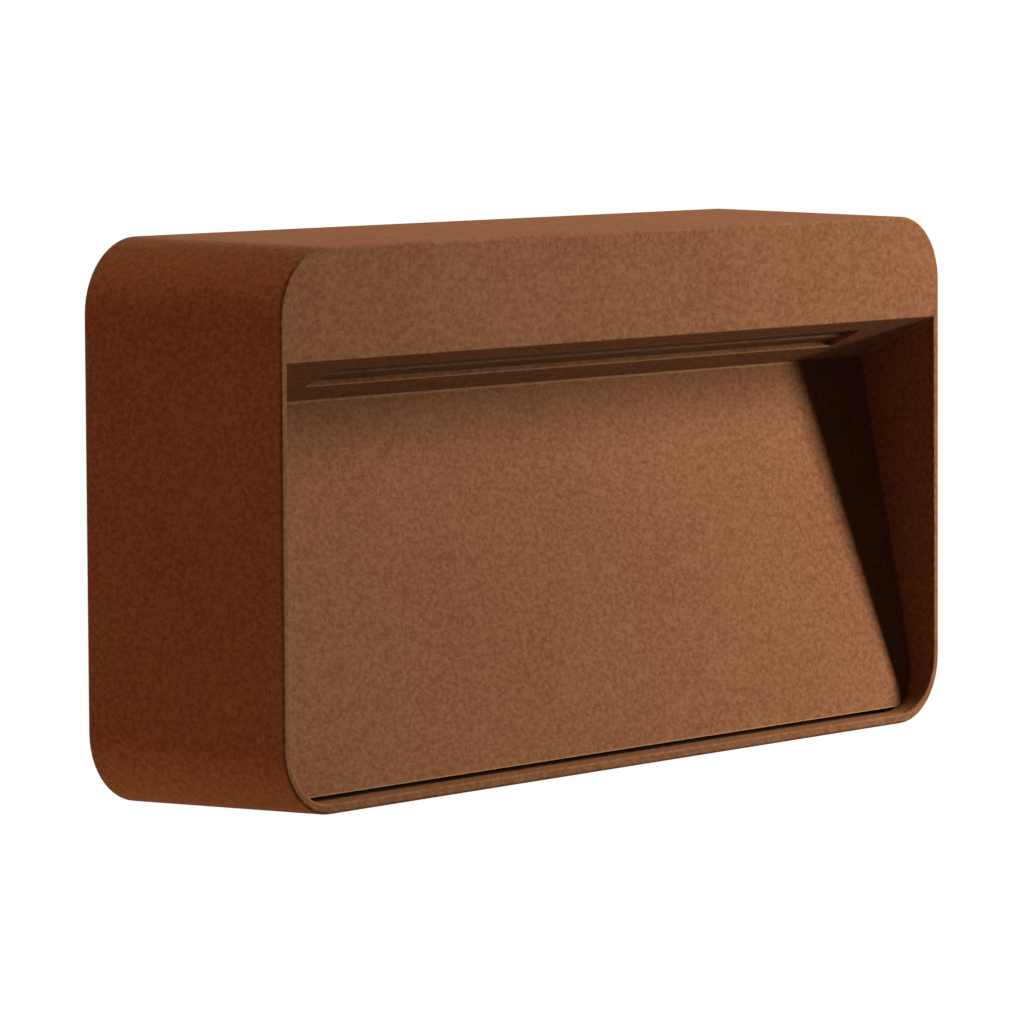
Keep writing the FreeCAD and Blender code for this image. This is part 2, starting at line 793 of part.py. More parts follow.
def make_window():
    half_gap = dim.slot_width / 2
    glass_end = half_slot + dim.glass_end_overlap
    glass_low = dim.slot_middle - half_gap - dim.glass_overlap
    glass_high = dim.slot_middle + half_gap + dim.glass_overlap

    seal_hole = (-half_slot - dim.seal_land, half_slot + dim.seal_land,
                 dim.slot_middle - half_gap - dim.seal_land, dim.slot_middle + half_gap + dim.seal_land)
    seal = flat_plate("window_gasket", -glass_end, glass_end, glass_low, glass_high, dim.seal_thickness,
                      seal_hole)
    lay_on_ceiling(seal, above=dim.web)

    glass = flat_plate("window_glass", -glass_end, glass_end, glass_low, glass_high, dim.glass_thickness)
    raised = sketch_on(glass, "XY_Plane")
    rounded_rectangle(
        raised, dim.fit_gap - half_slot, half_slot - dim.fit_gap, dim.slot_middle - half_gap + dim.fit_gap,
        dim.slot_middle + half_gap - dim.fit_gap, dim.slot_corner - dim.fit_gap)
    pad(glass, raised, dim.web + dim.seal_thickness - dim.glass_sink, backwards=True)
    lay_on_ceiling(glass, above=dim.web + dim.seal_thickness)

    clamp_hole = (dim.clamp_lip - glass_end, glass_end - dim.clamp_lip,
                  glass_low + dim.clamp_lip, glass_high - dim.clamp_lip)
    clamp_half = half_slot + dim.clamp_end
    clamp = flat_plate("window_clamp", -clamp_half, clamp_half, dim.clamp_front, dim.clamp_rear,
                       dim.clamp_thickness, clamp_hole)
    holes = sketch_on(clamp, "XY_Plane")
    for x, along in clamp_points():
        circle(holes, x, along, dim.small_screw_radius + dim.hole_gap)
    pocket(clamp, holes, dim.clamp_thickness, backwards=True)
    lay_on_ceiling(clamp, above=clamp_seat())

    screws = []
    for number, (x, along) in enumerate(clamp_points()):
        piece = small_screw(f"clamp_screw_{number}", dim.glass_thickness + dim.clamp_thickness)
        screws.append(lay_on_ceiling(piece, x, along, clamp_seat() + dim.clamp_thickness))
    return [seal, glass, clamp, group("clamp_screws", screws)]


# ---- lamp board and its carrier ----

def shelf_above():
    """Height above the ceiling of the shelf's underside."""
    return dim.web + dim.lamp_gap


def cover_rear():
    """Distance from the wall to the back face of the carrier's cover."""
    return head_rear - dim.chamber_seal - dim.cover_thickness


def make_carrier():
    cover_front = head_rear - dim.chamber_seal
    blank = tapered_block("cover_blank", dim.wall + dim.fit_gap, cover_rear(), cover_front)
    trim = box("cover_trim", -dim.front_width, dim.front_width, cover_rear() - dim.wall,
               cover_front + dim.wall, -dim.front_height, deep_z + dim.fit_gap)
    cover = take("cover_plate", blank, trim)

    def where_slope_meets(above):
        """(out, z) at which a plane this far above the ceiling meets the middle of the cover."""
        out, z = on_ceiling(dim.shelf_front, above)
        middle = cover_rear() + dim.cover_thickness / 2
        return middle, z - (out - middle) * dim.ceiling_drop / dim.ceiling_depth

    top = shelf_above() + dim.shelf_thickness
    shelf_length = 2 * (half_slot - dim.board_end)
    shelf = long_bar("carrier_shelf", shelf_length, [
        on_ceiling(dim.shelf_front, shelf_above()),
        where_slope_meets(shelf_above()),
        where_slope_meets(top),
        on_ceiling(dim.shelf_front, top),
    ])
    fins = new_body("carrier_fins")
    sketch = sketch_on(fins, "XZ_Plane", cover_rear() - dim.fin_height)
    fin_steps = int(shelf_length / 2 / dim.fin_pitch) - 1
    for step in range(-fin_steps, fin_steps + 1):
        x = step * dim.fin_pitch
        rectangle(sketch, x - dim.fin_thickness / 2, x + dim.fin_thickness / 2,
                  chamber_floor + dim.fin_rise, chamber_top - dim.fin_margin)
    pad(fins, sketch, dim.fin_height + dim.cover_thickness / 2)

    holes = []
    for number, (x, z) in enumerate(cover_points()):
        holes.append(peg(f"cover_hole_{number}", x, cover_rear() - dim.wall, cover_front + dim.wall, z,
                         dim.screw_radius + dim.hole_gap))
    holes.append(peg("plug_hole", link_side, cover_rear() - dim.wall, cover_front + dim.wall, link_z,
                     dim.plug_neck + dim.hole_gap))
    holes.append(peg("vent_bore", -link_side, cover_rear() - dim.wall, cover_front + dim.wall, link_z,
                     dim.vent_hole + dim.hole_gap))
    for number, x in enumerate(board_screw_places()):
        drilling = document.addObject("Part::Cylinder", f"board_pilot_{number}")
        bind(drilling, "Radius", dim.small_screw_radius + dim.running_gap)
        bind(drilling, "Height", dim.shelf_thickness)
        holes.append(lay_on_ceiling(drilling, x, dim.slot_middle + dim.board_screw_offset,
                                    shelf_above() - dim.wall / 4))
    carrier = take("led_carrier", join("carrier_built", cover, shelf, fins), *holes)

    # seal between the cover and the housing's step
    seal_outer = tapered_block("seal_outside", dim.wall + dim.fit_gap, cover_front, head_rear)
    seal_trim = box("seal_trim", -dim.front_width, dim.front_width, cover_front - dim.wall,
                    head_rear + dim.wall, -dim.front_height, deep_z + dim.fit_gap)
    seal_prism = new_body("seal_opening_outline")
    sketch = sketch_on(seal_prism, "XZ_Plane", cover_front - dim.wall)
    rounded_rectangle(sketch, -chamber_side, chamber_side, -chamber_top, chamber_top, dim.chamber_corner)
    pad(seal_prism, sketch, dim.chamber_seal + 2 * dim.wall)
    seal_span = box("seal_opening_span", -dim.front_width, dim.front_width, cover_front - dim.wall,
                    head_rear + dim.wall, chamber_floor, dim.front_height)
    seal_hole = shared("seal_opening", seal_prism, seal_span)
    seal = take("chamber_gasket", seal_outer, seal_trim, seal_hole)

    screws = []
    for number, (x, z) in enumerate(cover_points()):
        length = dim.cover_thickness + dim.chamber_seal + dim.cover_boss_length / 2
        piece = main_screw(f"carrier_screw_{number}", length)
        screws.append(put(piece, x, cover_rear(), z, FACING_WALL))
    return [carrier, seal, group("carrier_screws", screws)]


def board_screw_places():
    """x of the board's screws."""
    return [step * dim.board_screw_pitch for step in (-1.5, -0.5, 0.5, 1.5)]


def make_board():
    half_board = half_slot + dim.board_end
    low = dim.slot_middle - dim.board_width / 2
    high = dim.slot_middle + dim.board_width / 2
    board = flat_plate("led_board", -half_board, half_board, low, high, dim.board_thickness)
    holes = sketch_on(board, "XY_Plane")
    along = dim.slot_middle + dim.board_screw_offset
    for x in board_screw_places():
        circle(holes, x, along, dim.small_screw_radius + dim.hole_gap)
    pocket(board, holes, dim.board_thickness, backwards=True)
    under_board = shelf_above() - dim.board_thickness
    lay_on_ceiling(board, above=under_board)

    chips = []
    half_count = int(half_slot / dim.chip_pitch)
    for step in range(-half_count, half_count):
        x = (step + 0.5) * dim.chip_pitch
        chip = document.addObject("Part::Box", f"chip_{step + half_count}")
        bind(chip, "Length", dim.chip_length)
        bind(chip, "Width", dim.chip_width)
        bind(chip, "Height", dim.chip_height)
        chips.append(lay_on_ceiling(chip, x - dim.chip_length / 2, dim.slot_middle - dim.chip_width / 2,
                                    under_board - dim.chip_height))

    upside_down = ceiling_turn.multiply(FreeCAD.Rotation(FreeCAD.Vector(1, 0, 0), 180))
    screws = []
    for number, x in enumerate(board_screw_places()):
        length = dim.board_thickness + dim.shelf_thickness * 2 / 3
        piece = small_screw(f"board_screw_{number}", length)
        out, z = on_ceiling(along, under_board)
        screws.append(put(piece, x, out, z, upside_down))
    return [board, group("led_chips", chips), group("board_screws", screws)]


# ---- plug-in link, its leads and the vent ----

def deck():
    """Distance from the wall to the level on which the plate carries its parts."""
    return dim.plate_thickness + dim.boss_height


def pin_offsets():
    return (-dim.link_pin_pitch / 2, dim.link_pin_pitch / 2)


def make_link():
    half_link = dim.link_width / 2
    half_tall = dim.link_tall / 2
    plug_back = cover_rear() - dim.plug_height
    cap = box("plug_cap", link_side - half_link, link_side + half_link, plug_back, cover_rear(),
              link_z - half_tall, link_z + half_tall)
    neck = peg("plug_stem", link_side, cover_rear() - dim.plug_height / 2, head_rear - dim.chamber_seal / 2,
               link_z, dim.plug_neck)
    bores = []
    pins = []
    pin_front = cover_rear()
    pin_back = plug_back - dim.link_pin_length
    for number, offset in enumerate(pin_offsets()):
        x = link_side + offset
        pins.append(peg(f"link_pin_{number}", x, pin_back, pin_front, link_z, dim.link_pin))
        bores.append(peg(f"plug_bore_{number}", x, plug_back - dim.wall, pin_front, link_z,
                         dim.link_pin + dim.running_gap))
    plug = take("link_plug", join("plug_built", cap, neck), *bores)

    socket_front = plug_back - dim.fit_gap
    stem = box("socket_block", link_side - half_link, link_side + half_link, deck(), socket_front,
               link_z - half_tall, link_z + half_tall)
    holes = []
    for number, offset in enumerate(pin_offsets()):
        x = link_side + offset
        holes.append(peg(f"socket_bore_{number}", x, pin_back - dim.fit_gap, socket_front + dim.wall, link_z,
                         dim.link_bore))
    socket = take("link_socket", stem, *holes)

    board_top = shelf_above()
    end_out, end_z = on_ceiling(dim.slot_middle, board_top)
    leads = []
    for number, offset in enumerate(pin_offsets()):
        leads.append(peg(f"board_lead_{number}", link_side + offset / 2, head_rear - dim.chamber_seal / 2,
                         end_out, end_z + dim.lamp_lead, dim.lamp_lead))

    vent = new_body("breather_vent")
    sketch = sketch_on(vent, "XZ_Plane")
    stem_length = dim.cover_thickness + dim.chamber_seal
    polygon(sketch, [
        (0.0, -stem_length),
        (dim.vent_hole, -stem_length),
        (dim.vent_hole, 0.0),
        (dim.vent_radius, 0.0),
        (dim.vent_radius, dim.vent_height * 0.7),
        (dim.vent_radius * 0.8, dim.vent_height),
        (0.0, dim.vent_height),
    ])
    revolve(vent, sketch)
    put(vent, -link_side, cover_rear(), link_z, FACING_WALL)
    return [plug, group("link_pins", pins), group("board_leads", leads), vent], socket


# ---- wall plate ----

driver_low = dim.driver_rise - half_height(dim.plate_reach, dim.wall + dim.fit_gap)
driver_high = driver_low + dim.driver_tall
entry_z = driver_high + dim.entry_rise
terminal_high = deep_z - dim.terminal_drop
terminal_low = terminal_high - dim.terminal_tall
earth_z = terminal_high - dim.earth_drop


def plate_outline(sketch, inset=0.0):
    """The plate's outline: the housing's inside at the flange's free edge, less the fitting gap."""
    outline(sketch, dim.plate_reach, dim.wall + dim.fit_gap + inset)


def plate_bosses():
    """(x, z) of the bosses that carry parts on the plate."""
    ear = dim.driver_length / 2 + dim.ear_length / 2
    driver_z = driver_low + dim.driver_tall / 2
    terminal_half = terminal_half_width() + dim.ear_length / 2
    terminal_z = terminal_low + dim.terminal_tall / 2
    return [
        (dim.driver_middle - ear, driver_z),
        (dim.driver_middle + ear, driver_z),
        (dim.terminal_middle - terminal_half, terminal_z),
        (dim.terminal_middle + terminal_half, terminal_z),
        (dim.earth_side, earth_z),
    ]


def make_wall_plate():
    plate = new_body("wall_plate")
    base = sketch_on(plate, "XZ_Plane")
    plate_outline(base, dim.gasket_width + dim.fit_gap)
    pad(plate, base, dim.plate_thickness)

    rim = sketch_on(plate, "XZ_Plane", dim.gasket_thickness)
    plate_outline(rim)
    plate_outline(rim, dim.gasket_width + dim.fit_gap + dim.plate_edge)
    pad(plate, rim, dim.plate_thickness)

    flange = sketch_on(plate, "XZ_Plane", dim.gasket_thickness + dim.plate_thickness)
    plate_outline(flange)
    plate_outline(flange, dim.plate_edge)
    pad(plate, flange, dim.plate_reach - dim.gasket_thickness - dim.plate_thickness)

    bosses = sketch_on(plate, "XZ_Plane", dim.plate_thickness)
    for x, z in plate_bosses():
        circle(bosses, x, z, dim.boss_radius)
    pad(plate, bosses, dim.boss_height)

    # gaps in the lower flange for the release bosses, and the tabs that the screws press against
    rim_top = dim.gasket_thickness + dim.plate_thickness
    edge = half_height(dim.plate_reach, dim.wall + dim.fit_gap)
    notches = sketch_on(plate, "XZ_Plane", rim_top)
    tabs = sketch_on(plate, "XZ_Plane", dim.gasket_thickness)
    half_notch = dim.release_boss_radius + 2 * dim.fit_gap
    for side in (-1, 1):
        x = side * dim.release_place
        rectangle(notches, x - half_notch, x + half_notch, -edge - dim.wall,
                  dim.plate_edge - edge + dim.fit_gap)
        half_tab = dim.lock_tab_width / 2
        tab_low = release_boss_top() + dim.fit_gap
        rectangle(tabs, x - half_tab, x + half_tab, tab_low, tab_low + dim.plate_edge)
    pocket(plate, notches, dim.plate_reach, backwards=True)
    pad(plate, tabs, dim.plate_reach - dim.gasket_thickness)

    through = sketch_on(plate, "XZ_Plane")
    half_slot = dim.screw_slot_length / 2
    half_wide = dim.screw_slot_width / 2
    for side in (-1, 1):
        x = side * dim.slot_spacing / 2
        long_hole(through, x, half_slot, half_wide)
    circle(through, dim.entry_side, entry_z, dim.grommet_radius + dim.hole_gap)
    pocket(plate, through, dim.plate_thickness, backwards=True)

    pilots = sketch_on(plate, "XZ_Plane", deck())
    for x, z in plate_bosses():
        circle(pilots, x, z, dim.screw_radius + dim.running_gap)
    pocket(plate, pilots, dim.screw_bite)

    gasket = new_body("wall_gasket")
    sketch = sketch_on(gasket, "XZ_Plane")
    plate_outline(sketch)
    plate_outline(sketch, dim.gasket_width)
    pad(gasket, sketch, dim.gasket_thickness)

    grommet = new_body("cable_grommet")
    sketch = sketch_on(grommet, "XZ_Plane")
    top = dim.grommet_height
    polygon(sketch, [
        (dim.grommet_bore, -dim.plate_thickness),
        (dim.grommet_radius, -dim.plate_thickness),
        (dim.grommet_radius, 0.0),
        (dim.grommet_flange, 0.0),
        (dim.grommet_flange, top / 3),
        (dim.grommet_bore + top / 2, top),
        (dim.grommet_bore, top),
    ])
    revolve(grommet, sketch)
    put(grommet, dim.entry_side, dim.plate_thickness, entry_z, FACING_FRONT)
    return [plate, gasket, grommet]


def long_hole(sketch, x, half_long, half_wide):
    """A round-ended hole that lies along X, centred on z = 0."""
    reach = half_long - half_wide
    first = sketch.GeometryCount
    left, right = x - reach, x + reach
    up = FreeCAD.Vector(0, 0, 1)
    sketch.addGeometry(Part.LineSegment(
        FreeCAD.Vector(left, -half_wide, 0), FreeCAD.Vector(right, -half_wide, 0)), False)
    sketch.addGeometry(Part.ArcOfCircle(
        Part.Circle(FreeCAD.Vector(right, 0, 0), up, half_wide), -math.pi / 2, math.pi / 2), False)
    sketch.addGeometry(Part.LineSegment(
        FreeCAD.Vector(right, half_wide, 0), FreeCAD.Vector(left, half_wide, 0)), False)
    sketch.addGeometry(Part.ArcOfCircle(
        Part.Circle(FreeCAD.Vector(left, 0, 0), up, half_wide), math.pi / 2, 3 * math.pi / 2), False)
    for index in range(4):
        following = first + (index + 1) % 4
        sketch.addConstraint(Sketcher.Constraint("Tangent", first + index, END, following, START))
    sketch.addConstraint(Sketcher.Constraint("Horizontal", first))
    constrain(sketch, "DistanceX", ORIGIN, START, first + 1, CENTRE, right)
    constrain(sketch, "DistanceX", ORIGIN, START, first + 3, CENTRE, left)
    constrain(sketch, "DistanceY", ORIGIN, START, first + 1, CENTRE, 0.0)
    constrain(sketch, "Radius", first + 1, half_wide)


# ---- parts on the wall plate ----

def terminal_half_width():
    """Half the width of the terminal block, without its ears."""
    return dim.pole_pitch * 1.5 + dim.fit_gap * 3


def poles():
    """x of the terminal's three poles."""
    return [dim.terminal_middle + step * dim.pole_pitch for step in (-1, 0, 1)]


def lever_axis():
    """(out, z) of the pin that the levers turn on."""
    out = deck() + dim.terminal_deep - dim.lever_sink
    z = terminal_high - dim.lever_drop
    return out, z


def eared_block(name, middle, half_long, low, high, far):
    """A block on the plate's deck, with a screw ear at each end."""
    body = new_body(name)
    base = sketch_on(body, "XZ_Plane", deck())
    rounded_rectangle(base, middle - half_long, middle + half_long, low, high, dim.driver_corner / 2)
    pad(body, base, far - deck())
    ears = sketch_on(body, "XZ_Plane", deck())
    centre = (low + high) / 2
    for side in (-1, 1):
        inner = middle + side * (half_long - dim.driver_corner)
        outer = middle + side * (half_long + dim.ear_length)
        left, right = (outer, inner) if side < 0 else (inner, outer)
        rounded_rectangle(ears, left, right, centre - dim.ear_height / 2, centre + dim.ear_height / 2,
                          dim.driver_corner / 2)
    pad(body, ears, dim.ear_thickness)
    holes = sketch_on(body, "XZ_Plane", deck())
    for side in (-1, 1):
        x = middle + side * (half_long + dim.ear_length / 2)
        circle(holes, x, centre, dim.screw_radius + dim.hole_gap)
    pocket(body, holes, dim.ear_thickness, backwards=True)
    return body


def ear_screws(name, middle, half_long, centre):
    """The two screws that hold an eared block."""
    screws = []
    for number, side in enumerate((-1, 1)):
        piece = main_screw(f"{name}_{number}", dim.ear_thickness + dim.screw_bite * 0.8)
        x = middle + side * (half_long + dim.ear_length / 2)
        screws.append(put(piece, x, deck() + dim.ear_thickness, centre, FACING_FRONT))
    return group(name, screws)


def make_terminal():
    half = terminal_half_width()
    front = deck() + dim.terminal_deep
    block = eared_block("terminal_block", dim.terminal_middle, half, terminal_low, terminal_high, front)

    pin_out, pin_z = lever_axis()
    slots = sketch_on(block, "XZ_Plane", front)
    slot_half = dim.lever_width / 2 + dim.fit_gap
    slot_floor = dim.lever_head + dim.lever_sink + dim.fit_gap
    for x in poles():
        rectangle(slots, x - slot_half, x + slot_half, pin_z - dim.lever_length - 2 * dim.fit_gap,
                  terminal_high + dim.wall)
    pocket(block, slots, slot_floor)

    entries = sketch_on(block, "XY_Plane", terminal_low)
    for x in poles():
        circle(entries, x, -(deck() + dim.terminal_deep / 3), dim.pole_bore)
    pocket(block, entries, dim.pole_bore_depth, backwards=True)

    pin_hole = sketch_on(block, "YZ_Plane", dim.terminal_middle - half)
    circle(pin_hole, -pin_out, pin_z, dim.lever_pin + dim.running_gap)
    pocket(block, pin_hole, 2 * half, backwards=True)

    pin = new_body("lever_pin")
    sketch = sketch_on(pin, "YZ_Plane", dim.terminal_middle - half + dim.fit_gap)
    circle(sketch, -pin_out, pin_z, dim.lever_pin)
    pad(pin, sketch, 2 * half - 2 * dim.fit_gap)

    levers = [make_lever(name, x) for name, x in zip(("lever_live", "lever_earth", "lever_neutral"), poles())]
    screws = ear_screws("terminal_screws", dim.terminal_middle, half, (terminal_low + terminal_high) / 2)
    return [block, pin, screws] + levers


def make_lever(name, x):
    """A clamping lever: a round head on the pin, a shank that hangs down the block's front, a raised tip."""
    pin_out, pin_z = lever_axis()
    lever = new_body(name)
    shank = sketch_on(lever, "YZ_Plane", x - dim.lever_width / 2)
    half_thick = dim.lever_thickness / 2
    tip_z = pin_z - dim.lever_length
    polygon(shank, [
        (half_thick - pin_out, pin_z),
        (-half_thick - pin_out, pin_z),
        (-half_thick - pin_out, tip_z + dim.lever_thickness),
        (-dim.lever_thickness - pin_out, tip_z + dim.lever_thickness / 2),
        (-dim.lever_thickness - pin_out, tip_z),
        (half_thick - pin_out, tip_z),
    ])
    pad(lever, shank, dim.lever_width)
    head = sketch_on(lever, "YZ_Plane", x - dim.lever_width / 2)
    circle(head, -pin_out, pin_z, dim.lever_head)
    pad(lever, head, dim.lever_width)
    bore = sketch_on(lever, "YZ_Plane", x - dim.lever_width / 2)
    circle(bore, -pin_out, pin_z, dim.lever_pin + dim.running_gap)
    pocket(lever, bore, dim.lever_width, backwards=True)
    return lever


def make_driver():
    half = dim.driver_length / 2
    front = deck() + dim.driver_deep
    case = eared_block("driver_case", dim.driver_middle, half, driver_low, driver_high,
                       front - dim.driver_lid)
    lid = new_body("driver_lid")
    base = sketch_on(lid, "XZ_Plane", front - dim.driver_lid)
    rounded_rectangle(base, dim.driver_middle - half, dim.driver_middle + half, driver_low, driver_high,
                      dim.driver_corner / 2)
    feature = pad(lid, base, dim.driver_lid)
    document.recompute()
    top_edges = []
    for number, edge in enumerate(feature.Shape.Edges, start=1):
        if abs(edge.BoundBox.YMin + front) < 1e-4 and abs(edge.BoundBox.YMax + front) < 1e-4:
            top_edges.append(f"Edge{number}")
    bevel = lid.newObject("PartDesign::Chamfer", "driver_lid_edge")
    bevel.Base = (feature, top_edges)
    bind(bevel, "Size", dim.driver_lid / 2)
    lid.Tip = bevel
    screws = ear_screws("driver_screws", dim.driver_middle, half, (driver_low + driver_high) / 2)
    return [case, lid, screws]


def make_earth():
    ring_front = deck() + dim.tag_thickness
    tag = new_body("earth_tag")
    ring = sketch_on(tag, "XZ_Plane", deck())
    circle(ring, dim.earth_side, earth_z, dim.tag_radius)
    pad(tag, ring, dim.tag_thickness)
    barrel = sketch_on(tag, "XZ_Plane", deck())
    top = earth_z + dim.tag_radius + dim.tag_barrel
    rectangle(barrel, dim.earth_side - dim.tag_radius / 2, dim.earth_side + dim.tag_radius / 2,
              earth_z + dim.tag_radius / 2, top)
    pad(tag, barrel, dim.tag_thickness)
    eye = sketch_on(tag, "XZ_Plane", deck())
    circle(eye, dim.earth_side, earth_z, dim.screw_radius + dim.hole_gap)
    pocket(tag, eye, dim.tag_thickness, backwards=True)
    bolt = main_screw("earth_screw", dim.tag_thickness + dim.screw_bite * 0.8)
    put(bolt, dim.earth_side, ring_front, earth_z, FACING_FRONT)
    return [tag, bolt]


def lead(name, out, points, radius):
    """A lead at one distance from the wall, through (x, z) points: straight runs joined by tangent arcs."""
    places = [FreeCAD.Vector(x, -out, z) for x, z in points]
    bend = float(dim.lead_bend)
    edges = []
    start = places[0]
    for before, corner_point, after in zip(places, places[1:], places[2:]):
        incoming = (corner_point - before).normalize()
        outgoing = (after - corner_point).normalize()
        enter = corner_point - incoming * bend
        leave = corner_point + outgoing * bend
        centre = enter + outgoing * bend
        middle = centre + (corner_point - centre).normalize() * bend
        edges.append(Part.LineSegment(start, enter).toShape())
        edges.append(Part.Arc(enter, middle, leave).toShape())
        start = leave
    edges.append(Part.LineSegment(start, places[-1]).toShape())
    path = Part.Wire(edges)
    section = Part.Wire(Part.Circle(places[0], places[1] - places[0], float(radius)).toShape())
    piece = document.addObject("Part::Feature", name)
    piece.Shape = path.makePipeShell([section], True, False)
    expected = math.pi * radius * radius * path.Length
    if abs(piece.Shape.Volume - expected) > 0.01 * expected:
        raise ValueError(f"{name} is not a clean tube")
    return piece


def make_leads():
    driver_end = dim.driver_middle + dim.driver_length / 2
    block_end = dim.terminal_middle + terminal_half_width()
    block_start = dim.terminal_middle - terminal_half_width()
    lane = 2 * dim.mains_lead + 2 * dim.fit_gap
    mains_out = deck() + dim.driver_deep * 0.4
    first_lane = max(driver_end, block_end) + dim.ear_length + lane
    block_z = terminal_low + dim.terminal_tall / 4
    mains = [
        lead("mains_lead_0", mains_out, [
            (driver_end, driver_low + 2 * lane), (first_lane, driver_low + 2 * lane),
            (first_lane, block_z + 3 * lane), (block_end, block_z + 3 * lane)], dim.mains_lead),
        lead("mains_lead_1", mains_out, [
            (driver_end, driver_low + 4 * lane), (first_lane - lane, driver_low + 4 * lane),
            (first_lane - lane, block_z), (block_end, block_z)], dim.mains_lead),
    ]
    lamp_out = deck() + dim.ear_thickness + dim.lamp_lead + dim.fit_gap
    socket_side = link_side - dim.link_width / 2
    lamp_lane = first_lane + 2 * lane
    lamp = [
        lead("lamp_lead_0", lamp_out, [
            (driver_end, driver_high - 3 * lane), (lamp_lane, driver_high - 3 * lane),
            (lamp_lane, link_z - lane), (socket_side, link_z - lane)], dim.lamp_lead),
        lead("lamp_lead_1", lamp_out, [
            (driver_end, driver_high - lane), (lamp_lane - lane, driver_high - lane),
            (lamp_lane - lane, link_z + lane), (socket_side, link_z + lane)], dim.lamp_lead),
    ]
    tag_top = earth_z + dim.tag_radius + dim.tag_barrel
    roof = tag_top + 2 * dim.lead_bend
    drop_x = block_start - 3 * dim.lead_bend
    landing_z = (terminal_low + terminal_high + dim.ear_height) / 2 + 2 * dim.mains_lead
    earth = lead("earth_lead", deck() + dim.tag_thickness + dim.mains_lead, [
        (dim.earth_side, tag_top - dim.tag_barrel / 2), (dim.earth_side, roof), (drop_x, roof),
        (drop_x, landing_z), (block_start, landing_z)], dim.mains_lead)
    return [group("mains_leads", mains), group("lamp_leads", lamp), earth]


# ---- screws through the housing ----

def make_housing_screws():
    tail_first = panel_turn.multiply(FreeCAD.Rotation(FreeCAD.Vector(1, 0, 0), 180))
    panel_screws = []
    for number, (x, up) in enumerate(panel_points()):
        length = dim.lug_thickness + dim.panel_boss_height
        piece = main_screw(f"panel_screw_{number}", length)
        out, z = on_panel(up, -lug_seat() - dim.lug_thickness)
        panel_screws.append(put(piece, x, out, z, tail_first))

    release = []
    for side in (-1, 1):
        name = "left" if side < 0 else "right"
        body = new_body(f"release_screw_{name}")
        low = dim.release_sink - half_height(dim.release_out)
        profile = sketch_on(body, "XY_Plane", low)
        circle(profile, 0.0, 0.0, dim.release_screw_radius)
        pad(body, profile, release_boss_top() - low)
        key = sketch_on(body, "XY_Plane", low)
        flat = dim.release_screw_radius / 2
        polygon(key, [
            (flat, 0.0), (flat / 2, flat * 0.866), (-flat / 2, flat * 0.866),
            (-flat, 0.0), (-flat / 2, -flat * 0.866), (flat / 2, -flat * 0.866)])
        pocket(body, key, dim.release_screw_radius, backwards=True)
        release.append(put(body, side * dim.release_place, dim.release_out))
    return [group("panel_screws", panel_screws), group("release_screws", release)]


# ---- build, check and write ----

lamp_side, link_socket = make_link()
parts = [make_housing(), make_recess_panel(), link_socket]
parts += make_window() + make_carrier() + make_board() + lamp_side + make_housing_screws()
parts += make_wall_plate() + make_terminal() + make_driver() + make_earth() + make_leads()
document.recompute()

for item in document.Objects:
    if "Invalid" in item.State or "Error" in item.State:
        raise ValueError(f"{item.Label} did not build: {item.State}")
os.makedirs("parts", exist_ok=True)
for piece in parts:
    if piece.Shape.isNull() or not piece.Shape.isValid():
        raise ValueError(f"{piece.Label} has no valid shape")
    piece.Shape.exportStep(f"parts/{piece.Label}.step")
    bounds = piece.Shape.BoundBox
    print(f"{piece.Label}: {len(piece.Shape.Solids)} solids, {piece.Shape.Volume:.0f} mm3, "
          f"x {bounds.XMin:.2f}..{bounds.XMax:.2f} y {bounds.YMin:.2f}..{bounds.YMax:.2f} "
          f"z {bounds.ZMin:.2f}..{bounds.ZMax:.2f}")
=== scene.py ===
# %% [markdown]
# # A wall-mounted step light
#
# The object is a die-cast aluminium wall light in a rust-brown textured powder coat. Its front has
# a wedge-shaped recess: a slanted panel catches the light that comes down through a glass slot in
# the recess's sloped ceiling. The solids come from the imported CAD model. This script gives them
# their looks, in the same frame: metres, +Z up, the wall at y = 0 and the light towards -Y.

import json
import math

import bmesh
import bpy
import numpy as np
from mathutils import Matrix, Vector


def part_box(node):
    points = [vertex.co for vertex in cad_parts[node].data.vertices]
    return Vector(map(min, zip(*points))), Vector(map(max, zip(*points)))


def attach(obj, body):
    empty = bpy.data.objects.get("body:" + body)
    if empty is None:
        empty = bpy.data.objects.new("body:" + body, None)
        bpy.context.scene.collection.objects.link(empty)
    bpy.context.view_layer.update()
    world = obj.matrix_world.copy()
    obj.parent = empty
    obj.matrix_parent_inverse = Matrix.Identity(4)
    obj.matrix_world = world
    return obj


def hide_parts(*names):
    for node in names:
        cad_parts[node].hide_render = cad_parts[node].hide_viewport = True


MM = 0.001
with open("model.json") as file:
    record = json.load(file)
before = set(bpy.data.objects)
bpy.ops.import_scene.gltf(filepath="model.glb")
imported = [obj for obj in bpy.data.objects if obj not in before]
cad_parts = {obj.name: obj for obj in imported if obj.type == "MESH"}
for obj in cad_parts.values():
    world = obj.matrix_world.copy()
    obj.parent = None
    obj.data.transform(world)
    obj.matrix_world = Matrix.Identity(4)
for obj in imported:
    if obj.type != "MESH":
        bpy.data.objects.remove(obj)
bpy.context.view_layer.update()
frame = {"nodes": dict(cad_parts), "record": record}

# %% [markdown]
# ## The camera
#
# The photograph was taken from the left, almost level, with a long lens: the left side face shows,
# and the top only as a thin sliver. A camera could be set by eye, but one that is fitted lets the
# render and the photograph be laid over each other. Its place and focal length were worked out
# beforehand from the corners and edges of the housing, so they are given here as numbers. A camera
# in Blender looks along its own -Z, so the matrix columns are its right, its up and the reverse of
# its view.

# %% A camera from a place, a heading, a tilt and a roll
PHOTO_PIXELS = 1024
FOCAL_PIXELS = 6302.0
SENSOR_MM = 36.0
CAMERA_PLACE = (-1.0205, -0.8334, 0.1008)


